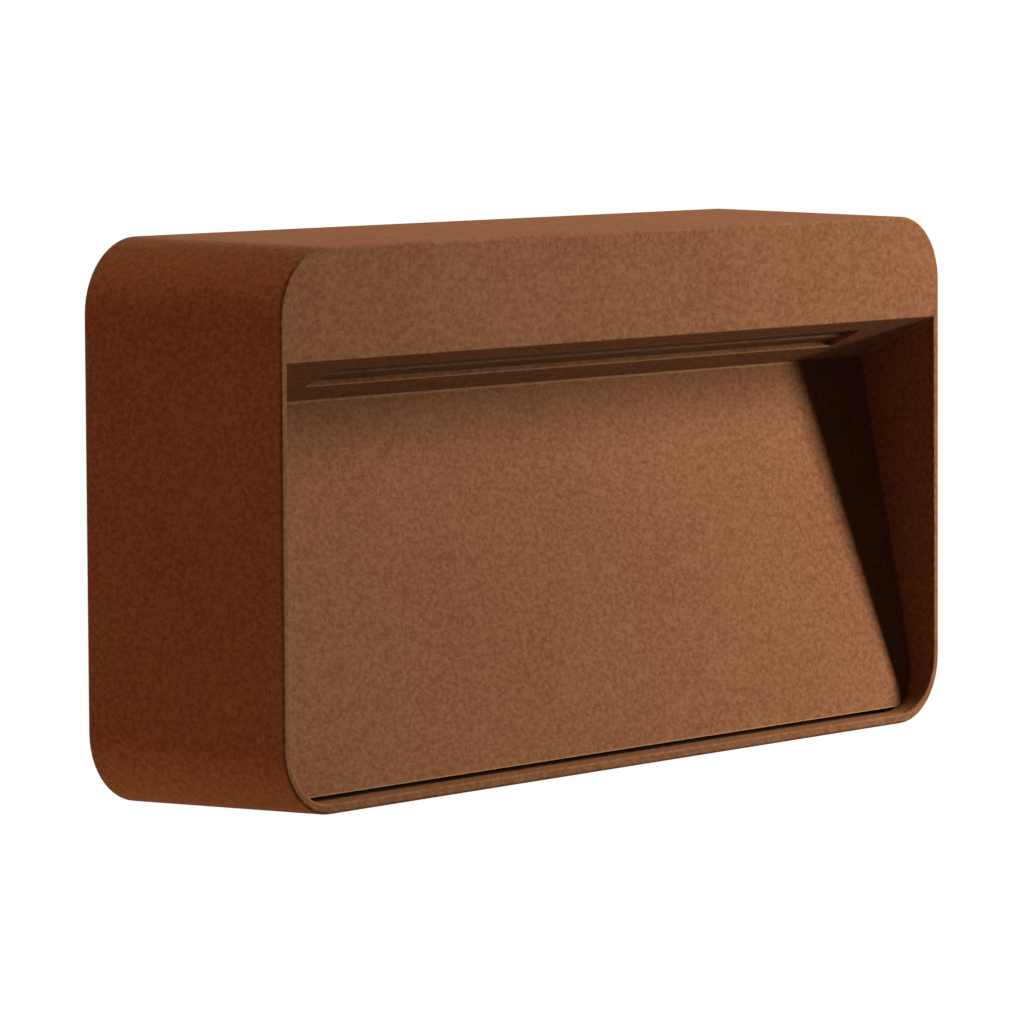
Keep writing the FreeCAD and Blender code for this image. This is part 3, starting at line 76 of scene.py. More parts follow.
def photo_camera(place, focal_pixels, heading, tilt, roll):
    """The camera stands at place and looks along a heading (degrees from +Y, clockwise seen from
    above), tilted down and rolled. Its lens in millimetres is the focal length in pixels times
    sensor over frame."""
    heading, tilt, roll = np.radians([heading, tilt, roll])
    level = np.array([np.sin(heading), np.cos(heading), 0.0])
    side = np.array([np.cos(heading), -np.sin(heading), 0.0])
    up = np.array([0.0, 0.0, 1.0])
    view = np.cos(tilt) * level - np.sin(tilt) * up
    top = np.cos(tilt) * up + np.sin(tilt) * level
    right = np.cos(roll) * side + np.sin(roll) * top
    top = np.cos(roll) * top - np.sin(roll) * side
    data = bpy.data.cameras.new("photo_camera")
    data.sensor_width = SENSOR_MM
    data.lens = focal_pixels * SENSOR_MM / PHOTO_PIXELS
    data.clip_start, data.clip_end = 0.01, 50.0
    camera = bpy.data.objects.new("photo_camera", data)
    matrix = np.eye(4)
    matrix[:3, 0], matrix[:3, 1], matrix[:3, 2], matrix[:3, 3] = right, top, -view, place
    camera.matrix_world = Matrix(matrix.tolist())
    bpy.context.scene.collection.objects.link(camera)
    return camera


camera = photo_camera(CAMERA_PLACE, FOCAL_PIXELS, heading=51.39, tilt=4.59, roll=-0.31)
bpy.context.scene.camera = camera
PIXEL_MM = float(np.linalg.norm(CAMERA_PLACE)) / MM / FOCAL_PIXELS
print("lens in mm:", round(camera.data.lens, 1), "a pixel at the light:", round(PIXEL_MM, 2))

# %% [markdown]
# ## Colours and nodes
#
# Colours are written as sRGB hex, as a paint maker gives them, and turned to linear light by one
# function. One helper adds a shader node with its settings and links, so each finish below reads
# as a short recipe.

# %% Hex to linear, and the node helper
MIX_A, MIX_B, MIX_RESULT = 6, 7, 2  # the colour sockets of a Mix node, which share their names


def linear(hex_colour):
    """Linear RGBA of an sRGB hex colour: c / 12.92 in the dark part, and above it
    ((c + 0.055) / 1.055) ** 2.4."""
    channels = np.array([int(hex_colour[place:place + 2], 16) for place in (1, 3, 5)]) / 255
    curve = np.where(channels <= 0.04045, channels / 12.92, ((channels + 0.055) / 1.055) ** 2.4)
    return (*curve.tolist(), 1.0)


def add_node(tree, kind, settings=None, inputs=None):
    """Adds a node. An input is given by its name or number, as a value or as another's output."""
    node = tree.nodes.new(kind)
    for name, value in (settings or {}).items():
        setattr(node, name, value)
    for name, value in (inputs or {}).items():
        if isinstance(value, bpy.types.NodeSocket):
            tree.links.new(value, node.inputs[name])
        else:
            node.inputs[name].default_value = value
    return node


print("mid grey in linear light:", round(linear("#808080")[0], 3))

# %% [markdown]
# ## A material, and a grain in millimetres
#
# Every finish here is one Principled shader whose colour, roughness and surface follow a grain. A
# picture could be wrapped around the piece, but noise needs no seams and has a real size: it reads
# the piece's own coordinates, so it stays in place when the piece moves, and its period is given
# in millimetres. A pixel of the photograph covers about 0.2 mm. Most of the real grains are finer,
# so those below are drawn at 0.5 mm or more, as coarse as they need to be to show.

# %% A material with its shader, and the grain's value
EVEN = (1.0, 1.0, 1.0)
GRAIN_SPREAD = {"From Min": 0.3, "From Max": 0.7}    # most values of a grain lie between these


def new_material(name, colour, roughness, **shader):
    """A material with only its Principled shader. Other inputs are named with _ for spaces."""
    material = bpy.data.materials.new(name)
    material.use_nodes = True
    tree = material.node_tree
    tree.nodes.clear()
    values = {"Base Color": linear(colour), "Roughness": roughness}
    values.update({key.replace("_", " "): value for key, value in shader.items()})
    surface = add_node(tree, "ShaderNodeBsdfPrincipled", inputs=values)
    add_node(tree, "ShaderNodeOutputMaterial", inputs={"Surface": surface.outputs[0]})
    return material, tree, surface


def grain_value(tree, period_mm, detail=3.0, roughness=0.5, stretch=EVEN):
    """Noise with 1 / period lumps to a length, in coordinates multiplied by stretch: a factor under
    1 makes the lumps longer along that axis."""
    place = add_node(tree, "ShaderNodeTexCoord").outputs["Object"]
    place = add_node(tree, "ShaderNodeMapping", inputs={"Vector": place, "Scale": stretch})
    return add_node(tree, "ShaderNodeTexNoise", inputs={
        "Vector": place.outputs[0], "Scale": 1 / (period_mm * MM), "Detail": detail,
        "Roughness": roughness}).outputs["Fac"]


print("the finest grain in pixels:", round(0.5 / PIXEL_MM, 1))

# %% [markdown]
# ## The coat on the housing and the panel
#
# The cast parts have a fine-textured polyester powder coat in a weathering-steel brown. Cured
# powder of this kind is a matt skin of small lumps, about 1 mm across in the photograph, with no
# mirror reflections: the eye sees a mottle of slightly lighter and darker grains. One noise gives
# the grains. It is stretched a little along X and Y, because the front is seen at an angle and the
# photograph's grain still looks even. A second, much larger noise keeps the wide faces from
# looking printed. The edges get a painted highlight: a lighter brown where rounded edges would
# catch the light. Edges could be strips of mesh, but a mask in the material follows every rounding
# without them: it compares the surface's normal with the normal that rounded edges would have.

# %% Textured powder coat
# The third brown is a painted highlight for the edges.
DARK_BROWN, LIGHT_BROWN, EDGE_HIGHLIGHT_BROWN = "#7a4a2b", "#9b6f50", "#cfa076"
GRAIN_MM, CLOUD_MM, LUMP_MM = 1.0, 28.0, 0.1
GRAIN_SHARE, CLOUD_SHARE = 0.85, 0.15
GRAIN_STRETCH = (0.72, 0.85, 1.0)
EDGE_MM = 0.7


def edge_mask(tree, radius_mm):
    """0 on open faces, rising to 1 on edges, which get the painted highlight. It follows the dot
    product of the surface's normal and the normal with edges rounded to radius_mm: 0.99 gives 0,
    and 0.7 gives 1."""
    rounded = add_node(tree, "ShaderNodeBevel", {"samples": 6}, {"Radius": radius_mm * MM})
    plain = add_node(tree, "ShaderNodeNewGeometry").outputs["Normal"]
    match = add_node(tree, "ShaderNodeVectorMath", {"operation": "DOT_PRODUCT"},
                     {0: rounded.outputs[0], 1: plain}).outputs["Value"]
    return add_node(tree, "ShaderNodeMapRange", inputs={
        "Value": match, "From Min": 0.7, "From Max": 0.99, "To Min": 1.0, "To Max": 0.0}).outputs[0]


def powder_coat():
    """Mottled rust brown, rough, with small lumps. The mottle goes from the dark brown to the light
    one by a share of the grain plus a share of the cloud. Edges get a painted highlight on top."""
    material, tree, surface = new_material("textured_powder_coat", LIGHT_BROWN, 0.8,
                                           Specular_IOR_Level=0.07)
    grain = grain_value(tree, GRAIN_MM, detail=2.0, roughness=0.75, stretch=GRAIN_STRETCH)
    cloud = grain_value(tree, CLOUD_MM, detail=2.0)
    grains = add_node(tree, "ShaderNodeMapRange", inputs={
        "Value": grain, "From Min": 0.34, "From Max": 0.66, "To Min": 0.0, "To Max": GRAIN_SHARE})
    clouds = add_node(tree, "ShaderNodeMapRange", inputs={
        **GRAIN_SPREAD, "Value": cloud, "To Min": 0.0, "To Max": CLOUD_SHARE})
    amount = add_node(tree, "ShaderNodeMath", {"operation": "ADD"},
                      {0: grains.outputs[0], 1: clouds.outputs[0]})
    mottle = add_node(tree, "ShaderNodeMix", {"data_type": "RGBA"}, {
        "Factor": amount.outputs[0], MIX_A: linear(DARK_BROWN), MIX_B: linear(LIGHT_BROWN)})
    # The edges are painted in the lighter brown, as a highlight.
    edge_highlight = add_node(tree, "ShaderNodeMix", {"data_type": "RGBA"}, {
        "Factor": edge_mask(tree, EDGE_MM), MIX_A: mottle.outputs[MIX_RESULT],
        MIX_B: linear(EDGE_HIGHLIGHT_BROWN)})
    rough = add_node(tree, "ShaderNodeMapRange", inputs={
        **GRAIN_SPREAD, "Value": grain, "To Min": 0.75, "To Max": 0.9})
    lumps = add_node(tree, "ShaderNodeBump", inputs={
        "Strength": 1.0, "Distance": LUMP_MM * MM, "Height": grain})
    tree.links.new(edge_highlight.outputs[MIX_RESULT], surface.inputs["Base Color"])
    tree.links.new(rough.outputs[0], surface.inputs["Roughness"])
    tree.links.new(lumps.outputs[0], surface.inputs["Normal"])
    return material


coat = powder_coat()
print("nodes in the coat:", len(coat.node_tree.nodes))

# %% [markdown]
# ## The other finishes
#
# Behind the coat there are ordinary lamp materials. They show through the slot and when the
# housing is drawn off the wall. Each could have nodes of its own, but what sets them apart is a
# few numbers, so all of them follow one recipe: a grain leads the colour between two near shades,
# sways the roughness a little, and may raise the surface. Rolled, plated and stamped metal have
# the same grain, drawn out along one axis so that it becomes streaks.

# %% Glass, rubber, metals and plastics


def grained(name, dark, light, period_mm, roughness, bump_mm=0.0, sway=None, stretch=EVEN,
            **shader):
    """A finish from one grain: the colour goes from dark to light, the roughness from its value
    less sway to its value plus sway, and the surface rises by the grain times bump_mm. Left out,
    the sway is a fifth of the roughness, and 0.1 at most."""
    if sway is None:
        sway = min(0.2 * roughness, 0.1)
    material, tree, surface = new_material(name, light, roughness, **shader)
    grain = grain_value(tree, period_mm, stretch=stretch)
    shade = add_node(tree, "ShaderNodeMapRange", inputs={
        **GRAIN_SPREAD, "Value": grain, "To Min": 0.0, "To Max": 1.0})
    colour = add_node(tree, "ShaderNodeMix", {"data_type": "RGBA"}, {
        "Factor": shade.outputs[0], MIX_A: linear(dark), MIX_B: linear(light)})
    rough = add_node(tree, "ShaderNodeMapRange", inputs={
        **GRAIN_SPREAD, "Value": grain, "To Min": roughness - sway, "To Max": roughness + sway})
    tree.links.new(colour.outputs[MIX_RESULT], surface.inputs["Base Color"])
    tree.links.new(rough.outputs[0], surface.inputs["Roughness"])
    if bump_mm:
        bump = add_node(tree, "ShaderNodeBump", inputs={
            "Strength": 1.0, "Distance": bump_mm * MM, "Height": grain})
        tree.links.new(bump.outputs[0], surface.inputs["Normal"])
    return material


def streaked_metal(name, dark, light, roughness, stretch):
    """Rolled, plated or stamped metal: fine streaks along the axis with the smallest factor."""
    return grained(name, dark, light, 0.8, roughness, 0.01, 0.08, stretch, Metallic=1.0)


finishes = {
    # Polyester powder, sprayed and cured: a matt, mottled brown.
    "textured_coat": coat,
    # Acid-etched tempered glass: a frost that blurs the chamber behind it. Its brown is painted
    # light: it stands in for the brown light that the coated recess throws on the glass.
    "etched_glass": grained("etched_tempered_glass", "#6a482e", "#7d583a", 0.5, 0.5, 0.01, 0.08,
                            IOR=1.5, Transmission_Weight=0.45, Specular_IOR_Level=0.12),
    # Moulded silicone rubber: dull black with a slight unevenness.
    "silicone_rubber": grained("silicone_rubber", "#141414", "#1e1e1d", 1.5, 0.7, 0.02),
    # Rolled stainless spring steel: long soft streaks along its strip.
    "rolled_steel": streaked_metal("rolled_stainless_steel", "#8c8b88", "#aaa9a5", 0.32,
                                   (0.06, 1.0, 1.0)),
    # Zinc-plated steel: bright, a little cold, with short streaks.
    "zinc_steel": streaked_metal("zinc_plated_steel", "#9a9b9c", "#b9bab9", 0.3, (1.0, 0.2, 1.0)),
    # Die-cast aluminium, left bare: a soft grey shine with small pits.
    "cast_aluminium": grained("cast_aluminium", "#8f9294", "#a8abad", 1.2, 0.45, 0.04,
                              Metallic=1.0),
    # Smooth sprayed coat on the wall plate: an even mid grey.
    "plate_coat": grained("smooth_grey_coat", "#606365", "#75787a", 1.6, 0.5, 0.03),
    # Printed solder mask: clean white, half gloss.
    "solder_mask": grained("white_solder_mask", "#dcdcd2", "#e6e6de", 3.0, 0.35),
    # Phosphor in clear resin: the deep yellow of an unlit lamp.
    "phosphor": grained("lamp_phosphor", "#d8b347", "#e8c95c", 0.6, 0.4),
    # Moulded plastics: an even colour under a faint orange-peel shine.
    "black_plastic": grained("black_moulded_plastic", "#161617", "#1f1f20", 0.8, 0.42, 0.02),
    "grey_plastic": grained("grey_moulded_polyamide", "#a9acae", "#b6b9ba", 1.0, 0.38, 0.01),
    "orange_plastic": grained("orange_moulded_plastic", "#c85f14", "#d86d1c", 1.0, 0.33, 0.01),
    "white_plastic": grained("white_moulded_plastic", "#d5d5d2", "#dfdfdc", 1.5, 0.4, 0.01),
    # Stamped brass: warm yellow with short streaks.
    "brass": streaked_metal("stamped_brass", "#b08a45", "#cba75f", 0.3, (1.0, 0.3, 1.0)),
    # Extruded sleeves on the leads: smooth, with the colour nearly even.
    "lead_sleeve": grained("lead_sleeve", "#c4c3bd", "#d2d1cc", 2.0, 0.4),
    "earth_sleeve": grained("earth_lead_sleeve", "#6e8f26", "#86a632", 2.0, 0.4),
}
print("finishes:", len(finishes))

# %% [markdown]
# ## Smooth copies of the cast, moulded and bent pieces
#
# A CAD mesh arrives as loose flat triangles, so its corner arcs look cut with a knife. Smooth
# shading alone wouldn't help, because loose triangles share no corners. So these pieces are shown
# through copies: the copy's corners are merged, every edge that is less sharp than an angle is
# shaded smooth, and weighted normals keep the flat faces flat. The solid stays in the physics
# model, unseen. The glass and its seal are flat strips that look right as they are.

# %% Which finish each slot gets, and which nodes need more than a copy
body_of_node = {node: body for body, nodes in frame["record"]["behaviour"]["bodies"].items()
                for node in nodes}
slot_of_node = {part["node"]: part["material_slot"] for part in frame["record"]["subparts"]}
FINISH_OF_SLOT = {
    "rust_coat": "textured_coat", "clear_glass": "etched_glass", "black_seal": "silicone_rubber",
    "spring_steel": "rolled_steel", "screw_steel": "zinc_steel", "bare_aluminium": "cast_aluminium",
    "board_white": "solder_mask", "lamp_phosphor": "phosphor", "lead_sleeve": "lead_sleeve",
    "earth_sleeve": "earth_sleeve", "black_plastic": "black_plastic", "contact_brass": "brass",
    "plate_grey": "plate_coat", "terminal_grey": "grey_plastic", "lever_orange": "orange_plastic",
    "case_white": "white_plastic",
}
FLAT_NODES = ("window_glass", "window_gasket")
DETAILED_NODES = ("clamp_screws", "carrier_screws", "board_screws", "panel_screws",
                  "terminal_screws", "driver_screws", "earth_screw", "led_chips")
print("slots:", len(FINISH_OF_SLOT), "nodes with a drawn piece:", len(DETAILED_NODES))

# %% A merged, smooth copy of a node
WELD = 0.001 * MM
FLAT_DEGREES, SMOOTH_DEGREES = 0.2, 32.0


def smooth_copy(node, finish):
    """Copies a node's mesh, merges its corners, joins triangles that lie in one plane, shades
    smooth below an angle, and hides the node."""
    mesh = frame["nodes"][node].data.copy()
    mesh.name = node + "_skin"
    merged = bmesh.new()
    merged.from_mesh(mesh)
    bmesh.ops.remove_doubles(merged, verts=merged.verts, dist=WELD)
    bmesh.ops.dissolve_limit(merged, angle_limit=math.radians(FLAT_DEGREES),
                             verts=merged.verts, edges=merged.edges)
    merged.to_mesh(mesh)
    merged.free()
    mesh.shade_smooth()
    mesh.set_sharp_from_angle(angle=math.radians(SMOOTH_DEGREES))
    mesh.materials.clear()
    mesh.materials.append(finish)
    piece = bpy.data.objects.new(node + "_skin", mesh)
    bpy.context.scene.collection.objects.link(piece)
    weights = piece.modifiers.new("flat_faces", "WEIGHTED_NORMAL")
    weights.keep_sharp = True
    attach(piece, body_of_node[node])
    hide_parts(node)
    return piece


skins = {}
for node, slot_name in slot_of_node.items():
    finish = finishes[FINISH_OF_SLOT[slot_name]]
    if node in FLAT_NODES:
        data = frame["nodes"][node].data
        data.materials.clear()
        data.materials.append(finish)
    elif node not in DETAILED_NODES:
        skins[node] = smooth_copy(node, finish)
print("smooth copies:", len(skins))

# %% [markdown]
# ## Screws with a cross recess and a thread
#
# The CAD screws are plain turned solids. Each is shown here as a pan-head screw: a rounded head
# with a cross recess pressed into it, and a rolled thread on the shank. Recess and thread could be
# cut with modifiers, but on a grid they are only dips in a height and a radius, and stay clean. A
# screw's place, direction and sizes are read from its own solid, so the drawn one sits exactly
# where the CAD one does.

# %% Read the turned solids


def corners_of(node):
    """All corners of a node's mesh, as rows of x, y and z."""
    vertices = frame["nodes"][node].data.vertices
    corners = np.empty((len(vertices), 3), dtype=np.float32)
    vertices.foreach_get("co", corners.ravel())
    return corners.astype(float)


def solids_of(node):
    """The corners of each separate solid of a node. Corners that fall together count as one and
    start with a number of their own. Each triangle then gives its corners the lowest of their three
    numbers, until none changes: after that, all corners of a solid have the same number."""
    corners, loops = corners_of(node), frame["nodes"][node].data.loops
    ends = np.empty(len(loops), dtype=np.int32)
    loops.foreach_get("vertex_index", ends)
    _, first, same = np.unique(np.round(corners / WELD), axis=0, return_index=True,
                               return_inverse=True)
    triangles = same.reshape(-1)[ends].reshape(-1, 3)
    number, before = np.arange(len(first)), None
    while not np.array_equal(number, before):
        before = number.copy()
        np.minimum.at(number, triangles, before[triangles].min(axis=1, keepdims=True))
    return [corners[first[number == value]] for value in np.unique(number)]


def turned_sizes(points):
    """A turned screw's middle, axis (tail to head) and sizes. Around the axis the corners spread
    evenly, so it is the principal direction whose spread differs most from the mean of the three.
    The head is where the radius is over 0.9 of the largest."""
    middle = points.mean(axis=0)
    spreads, directions = np.linalg.eigh(np.cov((points - middle).T))
    axis = directions[:, np.argmax(np.abs(spreads - spreads.mean()))]
    height = (points - middle) @ axis
    radius = np.linalg.norm(points - middle - np.outer(height, axis), axis=1)
    wide = radius > 0.9 * radius.max()
    if height[wide].mean() < 0:
        axis, height = -axis, -height
    at_tail = height < height.min() + 0.01 * MM
    return middle, axis, {"tail": height.min(), "seat": height[wide].min(), "top": height.max(),
                          "head": radius.max(), "shank": radius[at_tail].max()}


print("carrier screws read:", len(solids_of("carrier_screws")))

# %% The screw's surface, as shares of its own sizes
TIP_RADIUS, TIP_LENGTH = 0.75, 0.04        # of the shank's radius and of its length
THREAD_PITCH, THREAD_DEPTH = 0.35, 0.18    # of the shank's radius
ROWS_PER_TURN, LEAST_ROWS = 5, 8
RIM_ROUND, RIM_RISE = 0.06, 0.8            # of the head's radius and of its height
DOME_FALL = 0.98                           # of the squared radius, under the dome's root
RECESS_ARM, RECESS_HALF_WIDTH, RECESS_SLOPE = 0.56, 0.13, 0.1    # of the head's radius
RECESS_DEPTH = 0.6                         # of the head's height


def cross_recess(x, y, arm, half_width, edge):
    """1 inside a cross of arms along x and y, 0 outside, with walls that slope over an edge width.
    A point is outside by the larger of: its far coordinate less the arm, its near one less the
    half width."""
    reach = np.maximum(np.abs(x), np.abs(y)) - arm
    narrow = np.minimum(np.abs(x), np.abs(y)) - half_width
    return np.clip(0.5 - np.maximum(reach, narrow) / edge, 0.0, 1.0)


def screw_grid(sizes, around=40, rim_rows=6, dome_rows=15):
    """Radius, angle and height of a screw's surface on a grid: a tip, a shank whose radius dips
    once a turn along a helix (the thread), a flat seat, a rim that is a quarter of an ellipse, and
    a low dome that rises by the root of 1 - 0.98 r squared, with the recess in it."""
    head, shank, seat = sizes["head"], sizes["shank"], sizes["seat"]
    pitch = THREAD_PITCH * shank
    grip, rise = seat - sizes["tail"], sizes["top"] - seat
    tip_rows, rows = 2, max(int(grip / pitch * ROWS_PER_TURN), LEAST_ROWS)
    along = np.linspace(0.0, 1.0, rows)
    turn = np.linspace(0.0, np.pi / 2, rim_rows)
    across = np.linspace(1.0 - RIM_ROUND, 0.0, dome_rows)
    radius = np.concatenate([[0.0, TIP_RADIUS * shank], np.full(rows, shank),
                             head * (1.0 - RIM_ROUND * (1 - np.cos(turn))), head * across])
    dome = RIM_RISE + (1.0 - RIM_RISE) * np.sqrt(1.0 - DOME_FALL * across ** 2)
    height = np.concatenate([np.full(tip_rows, sizes["tail"]),
                             sizes["tail"] + grip * (TIP_LENGTH + (1.0 - TIP_LENGTH) * along),
                             seat + rise * RIM_RISE * np.sin(turn), seat + rise * dome])
    angle = np.linspace(0.0, 2 * np.pi, around, endpoint=False)
    radius, angle = np.meshgrid(radius, angle, indexing="ij")
    height = np.repeat(height[:, None], around, axis=1)
    thread = slice(tip_rows + 1, tip_rows + rows)
    turns = height[thread] / pitch - angle[thread] / (2 * np.pi)
    radius[thread] -= 0.5 * THREAD_DEPTH * shank * (1 - np.cos(2 * np.pi * turns))
    top = slice(tip_rows + rows + rim_rows, None)
    x, y = radius[top] * np.cos(angle[top]), radius[top] * np.sin(angle[top])
    height[top] -= RECESS_DEPTH * rise * cross_recess(
        x, y, RECESS_ARM * head, RECESS_HALF_WIDTH * head, RECESS_SLOPE * head)
    return radius, angle, height


sample = screw_grid(turned_sizes(solids_of("board_screws")[0])[2])[0]
print("rows and columns of a board screw's grid:", sample.shape)

# %% A mesh piece from a grid


def grid_faces(rows, columns, first=0):
    """Quads of a grid that closes around its columns, numbered from first: each joins a point with
    the next in its row and the two above them."""
    row, column = np.meshgrid(np.arange(rows - 1), np.arange(columns), indexing="ij")
    following = (column + 1) % columns
    corners = [row * columns + column, row * columns + following,
               (row + 1) * columns + following, (row + 1) * columns + column]
    return np.stack(corners, axis=-1).reshape(-1, 4) + first


def piece_from(name, points, faces, finish, node, smooth_degrees=35.0):
    """A mesh piece that rides with a node's body and has the finish it is given. Points that fall
    together are merged, faces are turned outwards, and edges under an angle are shaded smooth."""
    mesh = bpy.data.meshes.new(name)
    mesh.from_pydata(points.tolist(), [], faces.tolist())
    merged = bmesh.new()
    merged.from_mesh(mesh)
    bmesh.ops.remove_doubles(merged, verts=merged.verts, dist=0.5 * WELD)
    bmesh.ops.recalc_face_normals(merged, faces=merged.faces)
    merged.to_mesh(mesh)
    merged.free()
    mesh.shade_smooth()
    mesh.set_sharp_from_angle(angle=math.radians(smooth_degrees))
    mesh.materials.append(finish)
    piece = bpy.data.objects.new(name, mesh)
    bpy.context.scene.collection.objects.link(piece)
    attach(piece, body_of_node[node])
    return piece


print("quads of a grid of 3 rows and 4 columns:", len(grid_faces(3, 4)))

# %% Draw the screws
ASKEW = (0.9, 0.3, 0.31)    # a direction that no screw of this light has


def cross_screws(node):
    """All screws of a node as pan-head screws in one piece. A point is the middle, plus its height
    along the axis, plus its radius times (cos, sin) of its angle across it."""
    points, faces, count = [], [], 0
    for solid in solids_of(node):
        middle, axis, sizes = turned_sizes(solid)
        radius, angle, height = screw_grid(sizes)
        side = np.cross(axis, ASKEW)
        side /= np.linalg.norm(side)
        other = np.cross(axis, side)
        grid = (middle + height[..., None] * axis + (radius * np.cos(angle))[..., None] * side
                + (radius * np.sin(angle))[..., None] * other)
        points.append(grid.reshape(-1, 3))
        faces.append(grid_faces(*radius.shape, count))
        count += radius.size
    piece = piece_from(node + "_cross_head", np.concatenate(points), np.concatenate(faces),
                       finishes["zinc_steel"], node)
    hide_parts(node)
    return piece


screws = {node: cross_screws(node) for node in DETAILED_NODES if "screw" in node}
print("screw pieces:", {node: len(piece.data.polygons) for node, piece in screws.items()})

# %% [markdown]
# ## The lamp chips
#
# Each chip is a white moulded package with bevelled edges and a shallow round lens of yellow
# phosphor. They face down along the ceiling's slope, so they show from below through the slot. The
# package is the chip's own box, made lower by a little, and the lens stands in the room that
# leaves. A cut sphere could be the lens, but there are 24 of them, so its few rings are written
# out.

# %% Packages and lenses
CEILING_DROP, CEILING_DEPTH = 9.2, 19.8    # in millimetres, from the recess's front to its back
SLOPE = math.atan2(CEILING_DROP, CEILING_DEPTH)
ACROSS = np.array([1.0, 0.0, 0.0])
ALONG = np.array([0.0, math.cos(SLOPE), -math.sin(SLOPE)])
DOWN = np.array([0.0, -math.sin(SLOPE), -math.cos(SLOPE)])
LENS_ROOM, LENS_RISE, PACKAGE_BEVEL = 0.12 * MM, 0.1 * MM, 0.12 * MM
LENS_SHARE = 0.42                          # of the package's width
BOX_CORNERS = np.array([[0, 0, 0], [1, 0, 0], [1, 1, 0], [0, 1, 0],
                        [0, 0, 1], [1, 0, 1], [1, 1, 1], [0, 1, 1]])
BOX_FACES = np.array([[0, 3, 2, 1], [4, 5, 6, 7], [0, 1, 5, 4],
                      [1, 2, 6, 5], [2, 3, 7, 6], [3, 0, 4, 7]])


def lamp_chips(node, around=24):
    """Splits each chip's box into a package and a closed dome on its lower face. The dome's rings
    have radii r from its rim to its middle, and rise by the root of 1 - r squared."""
    corners, boxes, lenses, lens_faces = [], [], [], []
    rings = np.array([0.0, 1.0, 0.8, 0.55, 0.28, 0.0])[:, None]     # the first closes the base
    rise = np.sqrt(1.0 - rings ** 2) * (np.arange(len(rings)) > 0)[:, None]
    angle = np.linspace(0.0, 2 * np.pi, around, endpoint=False)[None, :]
    for number, solid in enumerate(solids_of(node)):
        local = np.stack([solid @ ACROSS, solid @ ALONG, solid @ DOWN], axis=1)
        low, high = local.min(axis=0), local.max(axis=0)
        high[2] -= LENS_ROOM
        box = low + BOX_CORNERS * (high - low)
        corners.append(box[:, :1] * ACROSS + box[:, 1:2] * ALONG + box[:, 2:] * DOWN)
        boxes.append(BOX_FACES + len(BOX_CORNERS) * number)
        middle, reach = (low + high) / 2, LENS_SHARE * (high[1] - low[1])
        x = middle[0] + reach * rings * np.cos(angle)
        y = middle[1] + reach * rings * np.sin(angle)
        z = high[2] + LENS_RISE * rise + 0 * angle
        dome = x[..., None] * ACROSS + y[..., None] * ALONG + z[..., None] * DOWN
        lenses.append(dome.reshape(-1, 3))
        lens_faces.append(grid_faces(len(rings), around, number * len(rings) * around))
    package = piece_from("lamp_packages", np.concatenate(corners), np.concatenate(boxes),
                         finishes["white_plastic"], node, smooth_degrees=60.0)
    edges = package.modifiers.new("soft_edges", "BEVEL")
    edges.width, edges.segments = PACKAGE_BEVEL, 2
    lens = piece_from("lamp_lenses", np.concatenate(lenses), np.concatenate(lens_faces),
                      finishes["phosphor"], node)
    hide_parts(node)
    return package, lens


packages, lenses = lamp_chips("led_chips")
print("faces of the packages and lenses:", len(packages.data.polygons), len(lenses.data.polygons))

# %% [markdown]
# ## A lip on the wall seal
#
# The wall seal is foam rubber with a soft outer lip, which presses on the housing's inner wall and
# closes the slit between them. A bevelled curve would give a round lip. This one is a small wedge
# carried around the seal's rounded outline: wide at the wall, half as wide at its inner end.

# %% The lip, carried around a rounded rectangle
SEAL_CORNER_MM = 12.46                     # the seal's corner radius
LIP_REACH_MM, LIP_ROOT_MM = 0.55, -0.2     # past the seal's outline, and into the seal
LIP_NEAR_MM, LIP_FAR_MM = 0.3, 1.4         # its two ends, as distances from the wall


def rounded_outline(half_x, half_z, radius, per_corner=14):
    """Points around a rounded rectangle: each corner's centre plus radius times (cos, sin) of its
    quarter."""
    turns = np.linspace(0.0, np.pi / 2, per_corner)
    quarters = []
    for quarter, (side, rise) in enumerate(((1, 1), (-1, 1), (-1, -1), (1, -1))):
        angle = turns + quarter * np.pi / 2
        quarters.append(np.stack([side * (half_x - radius) + radius * np.cos(angle),
                                  rise * (half_z - radius) + radius * np.sin(angle)], axis=1))
    return np.concatenate(quarters)


def seal_lip(node):
    """A closed ring around the seal: each of the section's four corners (out, deep) is an outline
    wider by out, at the distance deep from the wall."""
    low, high = (np.array(corner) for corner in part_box(node))
    half_x, half_z = (high[0] - low[0]) / 2, (high[2] - low[2]) / 2
    section = ((LIP_ROOT_MM, LIP_NEAR_MM), (LIP_REACH_MM, LIP_NEAR_MM),
               (LIP_REACH_MM / 2, LIP_FAR_MM), (LIP_ROOT_MM, LIP_FAR_MM))
    loops = []
    for out, deep in section:
        loop = rounded_outline(half_x + out * MM, half_z + out * MM, (SEAL_CORNER_MM + out) * MM)
        loops.append(np.stack([loop[:, 0], np.full(len(loop), -deep * MM), loop[:, 1]], axis=1))
    loops.append(loops[0])
    return piece_from("seal_lip", np.concatenate(loops), grid_faces(len(loops), len(loops[0])),
                      finishes["silicone_rubber"], node)


lip = seal_lip("wall_gasket")
print("faces of the lip:", len(lip.data.polygons))

# %% [markdown]
# ## Two thin beads in the coat's colour
#
# A bead fills the fitting gap between the slanted panel and the recess's ceiling. A rail runs
# along the glass and shows in the slot as a thin light line. Both are round bars along X, so one
# function makes them. They could be placed by numbers, but read from the panel's and the glass's
# own corners, they stay right when the CAD model changes.

# %% The panel's bead and the glass's rail
BEAD_RADIUS_MM, RAIL_RADIUS_MM = 0.22, 0.45
BEAD_BACK_MM, BEAD_UP_MM = 0.3, 0.12       # from the panel's upper front edge
RAIL_PLACE = 0.57                          # of the glass's width, from its front
RAIL_SHORT_MM = 1.0                        # at each end, of the glass's length
NEARLY = 0.01 * MM


